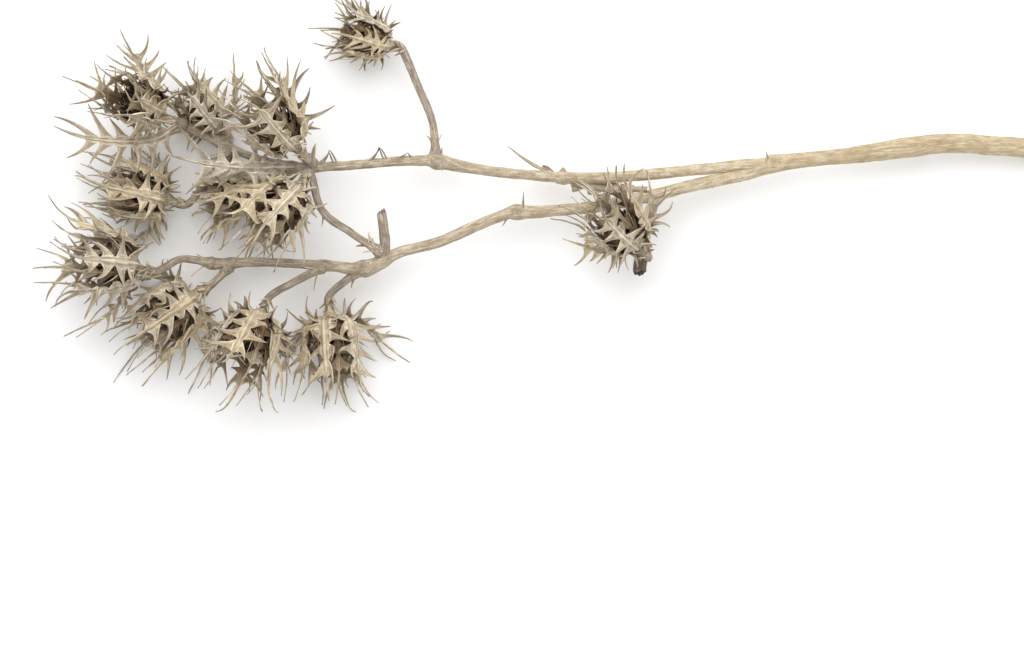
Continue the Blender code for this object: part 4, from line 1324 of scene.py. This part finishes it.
def weather_group():
    """The colour of a dry surface: a body that shades off in patches, pale ridges, and fibres."""
    inputs = [(name, "Color", (0.5, 0.5, 0.5, 1.0)) for name in ("Body", "Shade", "Pale")]
    inputs += [(name, "Float", 0.5) for name in (*FIBRE_OUTPUTS, "Ridge", "Contrast")]
    group = new_group("weathered", inputs, (("Color", "Color"),))
    tree = Tree(group)
    ins = tree.add("NodeGroupInput").outputs
    patched = tree.mix(tree.times(ins["Patches"], 0.68), ins["Body"], ins["Shade"])
    ridged = tree.mix(ins["Ridge"], patched, ins["Pale"])
    streaks = tree.times(tree.remap(ins["Fibres"], 0.0, 1.0, 1.0, 0.0), ins["Contrast"])
    streaked = tree.mix(streaks, ridged, ins["Shade"])
    specked = tree.mix(tree.times(ins["Specks"], 0.5), streaked, ins["Shade"])
    tree.add("NodeGroupOutput", (("Color", specked),))
    return group


class Finish:
    """A dry, matt material: the two groups, and a bump of its fibres."""

    def __init__(self, name, groups, fineness):
        self.material, self.tree, self.shader = new_material(name)
        self.weather = groups["weathered"]
        grain = self.tree.mark("grain", "Vector")
        self.own = self.tree.add("ShaderNodeSeparateXYZ", ((0, grain),)).outputs[2]
        self.edge, self.reach, self.painted_shade = (self.tree.mark(name) for name in READ_MARKS[1:])
        inputs = (("Grain", grain), ("Fineness", fineness))
        self.fibres = self.tree.add("ShaderNodeGroup", inputs, node_tree=groups["dry_fibres"])

    def weathered(self, body, shade, pale, ridge, contrast):
        """The colour that the weather group makes of a body, its shade and its pale ridges."""
        inputs = {"Body": body, "Shade": shade, "Pale": pale, "Ridge": ridge, "Contrast": contrast}
        inputs |= {name: self.fibres.outputs[name] for name in FIBRE_OUTPUTS}
        return self.tree.add("ShaderNodeGroup", inputs.items(), node_tree=self.weather).outputs[0]

    def closed(self, colour, roughness, depth):
        """The material, with the colour and the bump joined to its shader."""
        self.tree.join(colour, self.shader.inputs["Base Color"])
        self.shader.inputs["Roughness"].default_value = roughness
        self.shader.inputs["Specular IOR Level"].default_value = 0.25
        height = self.fibres.outputs["Fibres"]
        bump = self.tree.add(
            "ShaderNodeBump", (("Strength", 0.7), ("Distance", depth * MM), ("Height", height))
        )
        self.tree.join(bump.outputs[0], self.shader.inputs["Normal"])
        return self.material


def sheet_material(name, groups, warmth):
    """Bracts and leaves: silvery grey to straw by turns, cream ribs and margins, painted shade in heads.
    """
    finish = Finish(name, groups, fineness=2.0)
    tree = finish.tree
    turn = tree.maths("FRACT", tree.times(finish.own, 0.377))
    stained = tree.times(finish.fibres.outputs["Patches"], 0.45)
    straw = tree.times(tree.maths("ADD", turn, stained), warmth)
    body = tree.mix(straw, (0.56, 0.46, 0.38, 1.0), (0.73, 0.58, 0.36, 1.0))
    shade = tree.mix(straw, (0.12, 0.090, 0.070, 1.0), (0.17, 0.115, 0.065, 1.0))
    pale = tree.mix(straw, (1.0, 0.93, 0.78, 1.0), (1.0, 0.89, 0.65, 1.0))
    colour = finish.weathered(body, shade, pale, finish.edge, contrast=0.62)
    tipped = tree.mix(tree.remap(finish.reach, 0.55, 1.0, 0.0, 0.65), colour, (0.26, 0.20, 0.14, 1.0))
    # Painted shade: the colour is multiplied towards dark brown inside the heads, on the backs of the
    # bracts and on the inner bracts.
    painted_shade_colour = tree.mix(tree.times(finish.painted_shade, 0.9), tipped, (0.25, 0.17, 0.11, 1.0), "MULTIPLY")
    return finish.closed(painted_shade_colour, roughness=0.82, depth=0.16)


def wood_material(groups):
    """The stem: straw-coloured, greyer and browner with age, dark at nodes, and painted shade in its
    broken hollows.
    """
    finish = Finish("dry_wood", groups, fineness=3.2)
    tree = finish.tree
    bleached = tree.remap(finish.reach, 0.0, 0.15)
    bark = tree.mix(bleached, (0.74, 0.62, 0.41, 1.0), (0.91, 0.80, 0.60, 1.0))
    ochre = tree.times(finish.fibres.outputs["Patches"], 0.55)
    straw = tree.mix(ochre, bark, (0.74, 0.55, 0.29, 1.0))
    greyed = tree.remap(finish.reach, 0.15, 1.0)
    body = tree.mix(greyed, straw, (0.46, 0.385, 0.325, 1.0))
    shade = tree.mix(greyed, (0.38, 0.28, 0.17, 1.0), (0.14, 0.105, 0.075, 1.0))
    pale = tree.mix(greyed, (0.84, 0.76, 0.59, 1.0), (0.70, 0.63, 0.52, 1.0))
    streaks = tree.remap(finish.fibres.outputs["Fibres"], 0.55, 1.0, 0.0, 0.6)
    colour = finish.weathered(body, shade, pale, streaks, contrast=0.5)
    # Dark brown towards the end of the long stub, and faintly at the tips of the leaf scars, where reach
    # passes 1.
    dark_far_ends = tree.mix(tree.remap(finish.reach, 1.0, 1.5), colour, (0.07, 0.043, 0.026, 1.0))
    # Darker at knots, and painted shade near-black from the rims of the broken ends down into their
    # hollows.
    darker = tree.mix(tree.remap(finish.edge, 0.1, 1.0, 0.0, 0.92), dark_far_ends, (0.05, 0.032, 0.02, 1.0))
    return finish.closed(darker, roughness=0.78, depth=0.22)


def seed_material(groups):
    """The seed head: near-black brown scales with tan tips and pale bristles."""
    finish = Finish("dry_seed", groups, fineness=3.0)
    tree = finish.tree
    body = tree.mix(finish.reach, (0.030, 0.019, 0.012, 1.0), (0.16, 0.10, 0.06, 1.0))
    shade, pale = (0.018, 0.011, 0.007, 1.0), (0.46, 0.36, 0.24, 1.0)
    colour = finish.weathered(body, shade, pale, finish.edge, contrast=0.4)
    return finish.closed(colour, roughness=0.92, depth=0.1)


def floor_material():
    """Pale matt paper, with a faint unevenness."""
    material, tree, shader = new_material("pale_floor")
    place = tree.add("ShaderNodeTexCoord").outputs["Object"]
    cloud = tree.remap(tree.noise(place, 6.0), 0.3, 0.7)
    colour = tree.mix(cloud, (0.95, 0.95, 0.95, 1.0), (0.97, 0.97, 0.97, 1.0))
    tree.join(colour, shader.inputs["Base Color"])
    shader.inputs["Roughness"].default_value = 0.9
    return material


def studio():
    """A pale floor, a soft light from above the heads, and the camera straight above."""
    scene = bpy.context.scene
    scene.view_settings.view_transform = "Standard"
    mesh = bpy.data.meshes.new("floor")
    a, b = -FLOOR_HALF, FLOOR_HALF
    corners = [(x, y, FLOOR_LEVEL) for x, y in ((a, a), (b, a), (b, b), (a, b))]
    mesh.from_pydata(corners, [], [(0, 1, 2, 3)])
    mesh.materials.append(floor_material())
    floor = new_object("floor", mesh)
    world = bpy.data.worlds.new("soft_light")
    world.use_nodes = True
    sky = world.node_tree.nodes["Background"]
    sky.inputs["Color"].default_value = (1.0, 1.0, 1.0, 1.0)
    sky.inputs["Strength"].default_value = SKY_STRENGTH
    scene.world = world
    data = bpy.data.lights.new("key", "AREA")
    data.shape = "DISK"
    data.size = KEY_SIZE
    data.energy = KEY_WATTS
    light = new_object("key", data)
    light.location = KEY_PLACE
    light.rotation_euler = (-KEY_PLACE).to_track_quat("-Z", "Y").to_euler()
    lens = bpy.data.cameras.new("camera")
    lens.lens = LENS
    lens.sensor_width = SENSOR
    camera = new_object("camera", lens)
    camera.location = (-PLAN_MIDDLE.x * MM, -PLAN_MIDDLE.y * MM, SEEN_LEVEL + SEEN_WIDTH * LENS / SENSOR)
    scene.camera = camera


def main():
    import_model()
    solid_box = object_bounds()
    groups = {"dry_fibres": fibre_group(), "weathered": weather_group()}
    bract_finish = sheet_material("dry_bract", groups, warmth=1.0)
    leaf_finish = sheet_material("dry_leaf", groups, warmth=0.5)
    seed_finish = seed_material(groups)
    wood_finish = wood_material(groups)
    branches = [smooth_route(MAIN_STEM, MAIN_SPACING)]
    for route in (UPPER_BRANCH, LOWER_BRANCH, SHORT_STUB, LONG_STUB):
        branches.append(smooth_route(route, BRANCH_SPACING))
    branch_wood = [piece for route in branches for piece in segments(route)]
    stalk_wood = [segments(smooth_route(stalk_knots(head), STALK_SPACING)) for head in HEADS]
    cores = [head_core(head) for head in HEADS]
    box = box_planes(solid_box)
    beside_leaves = Surroundings([surface_plane()], branch_wood + sum(stalk_wood, []) + cores, box)
    leaves = []
    for number, (points, spine_size) in enumerate(zip(LEAVES, LEAF_SPINES), 1):
        leaves += long_leaf(number, points, spine_size, beside_leaves, leaf_finish)
    for number, head in enumerate(HEADS, 1):
        near_wood = branch_wood + leaves
        for other, stalk in enumerate(stalk_wood, 1):
            near_wood += stalk if other != number else stalk[:-2]
        surroundings = Surroundings(neighbour_planes(head), near_wood, box)
        flower_head(number, head, surroundings, bract_finish, seed_finish)
    wood(branch_wood, wood_finish)
    studio()


main()
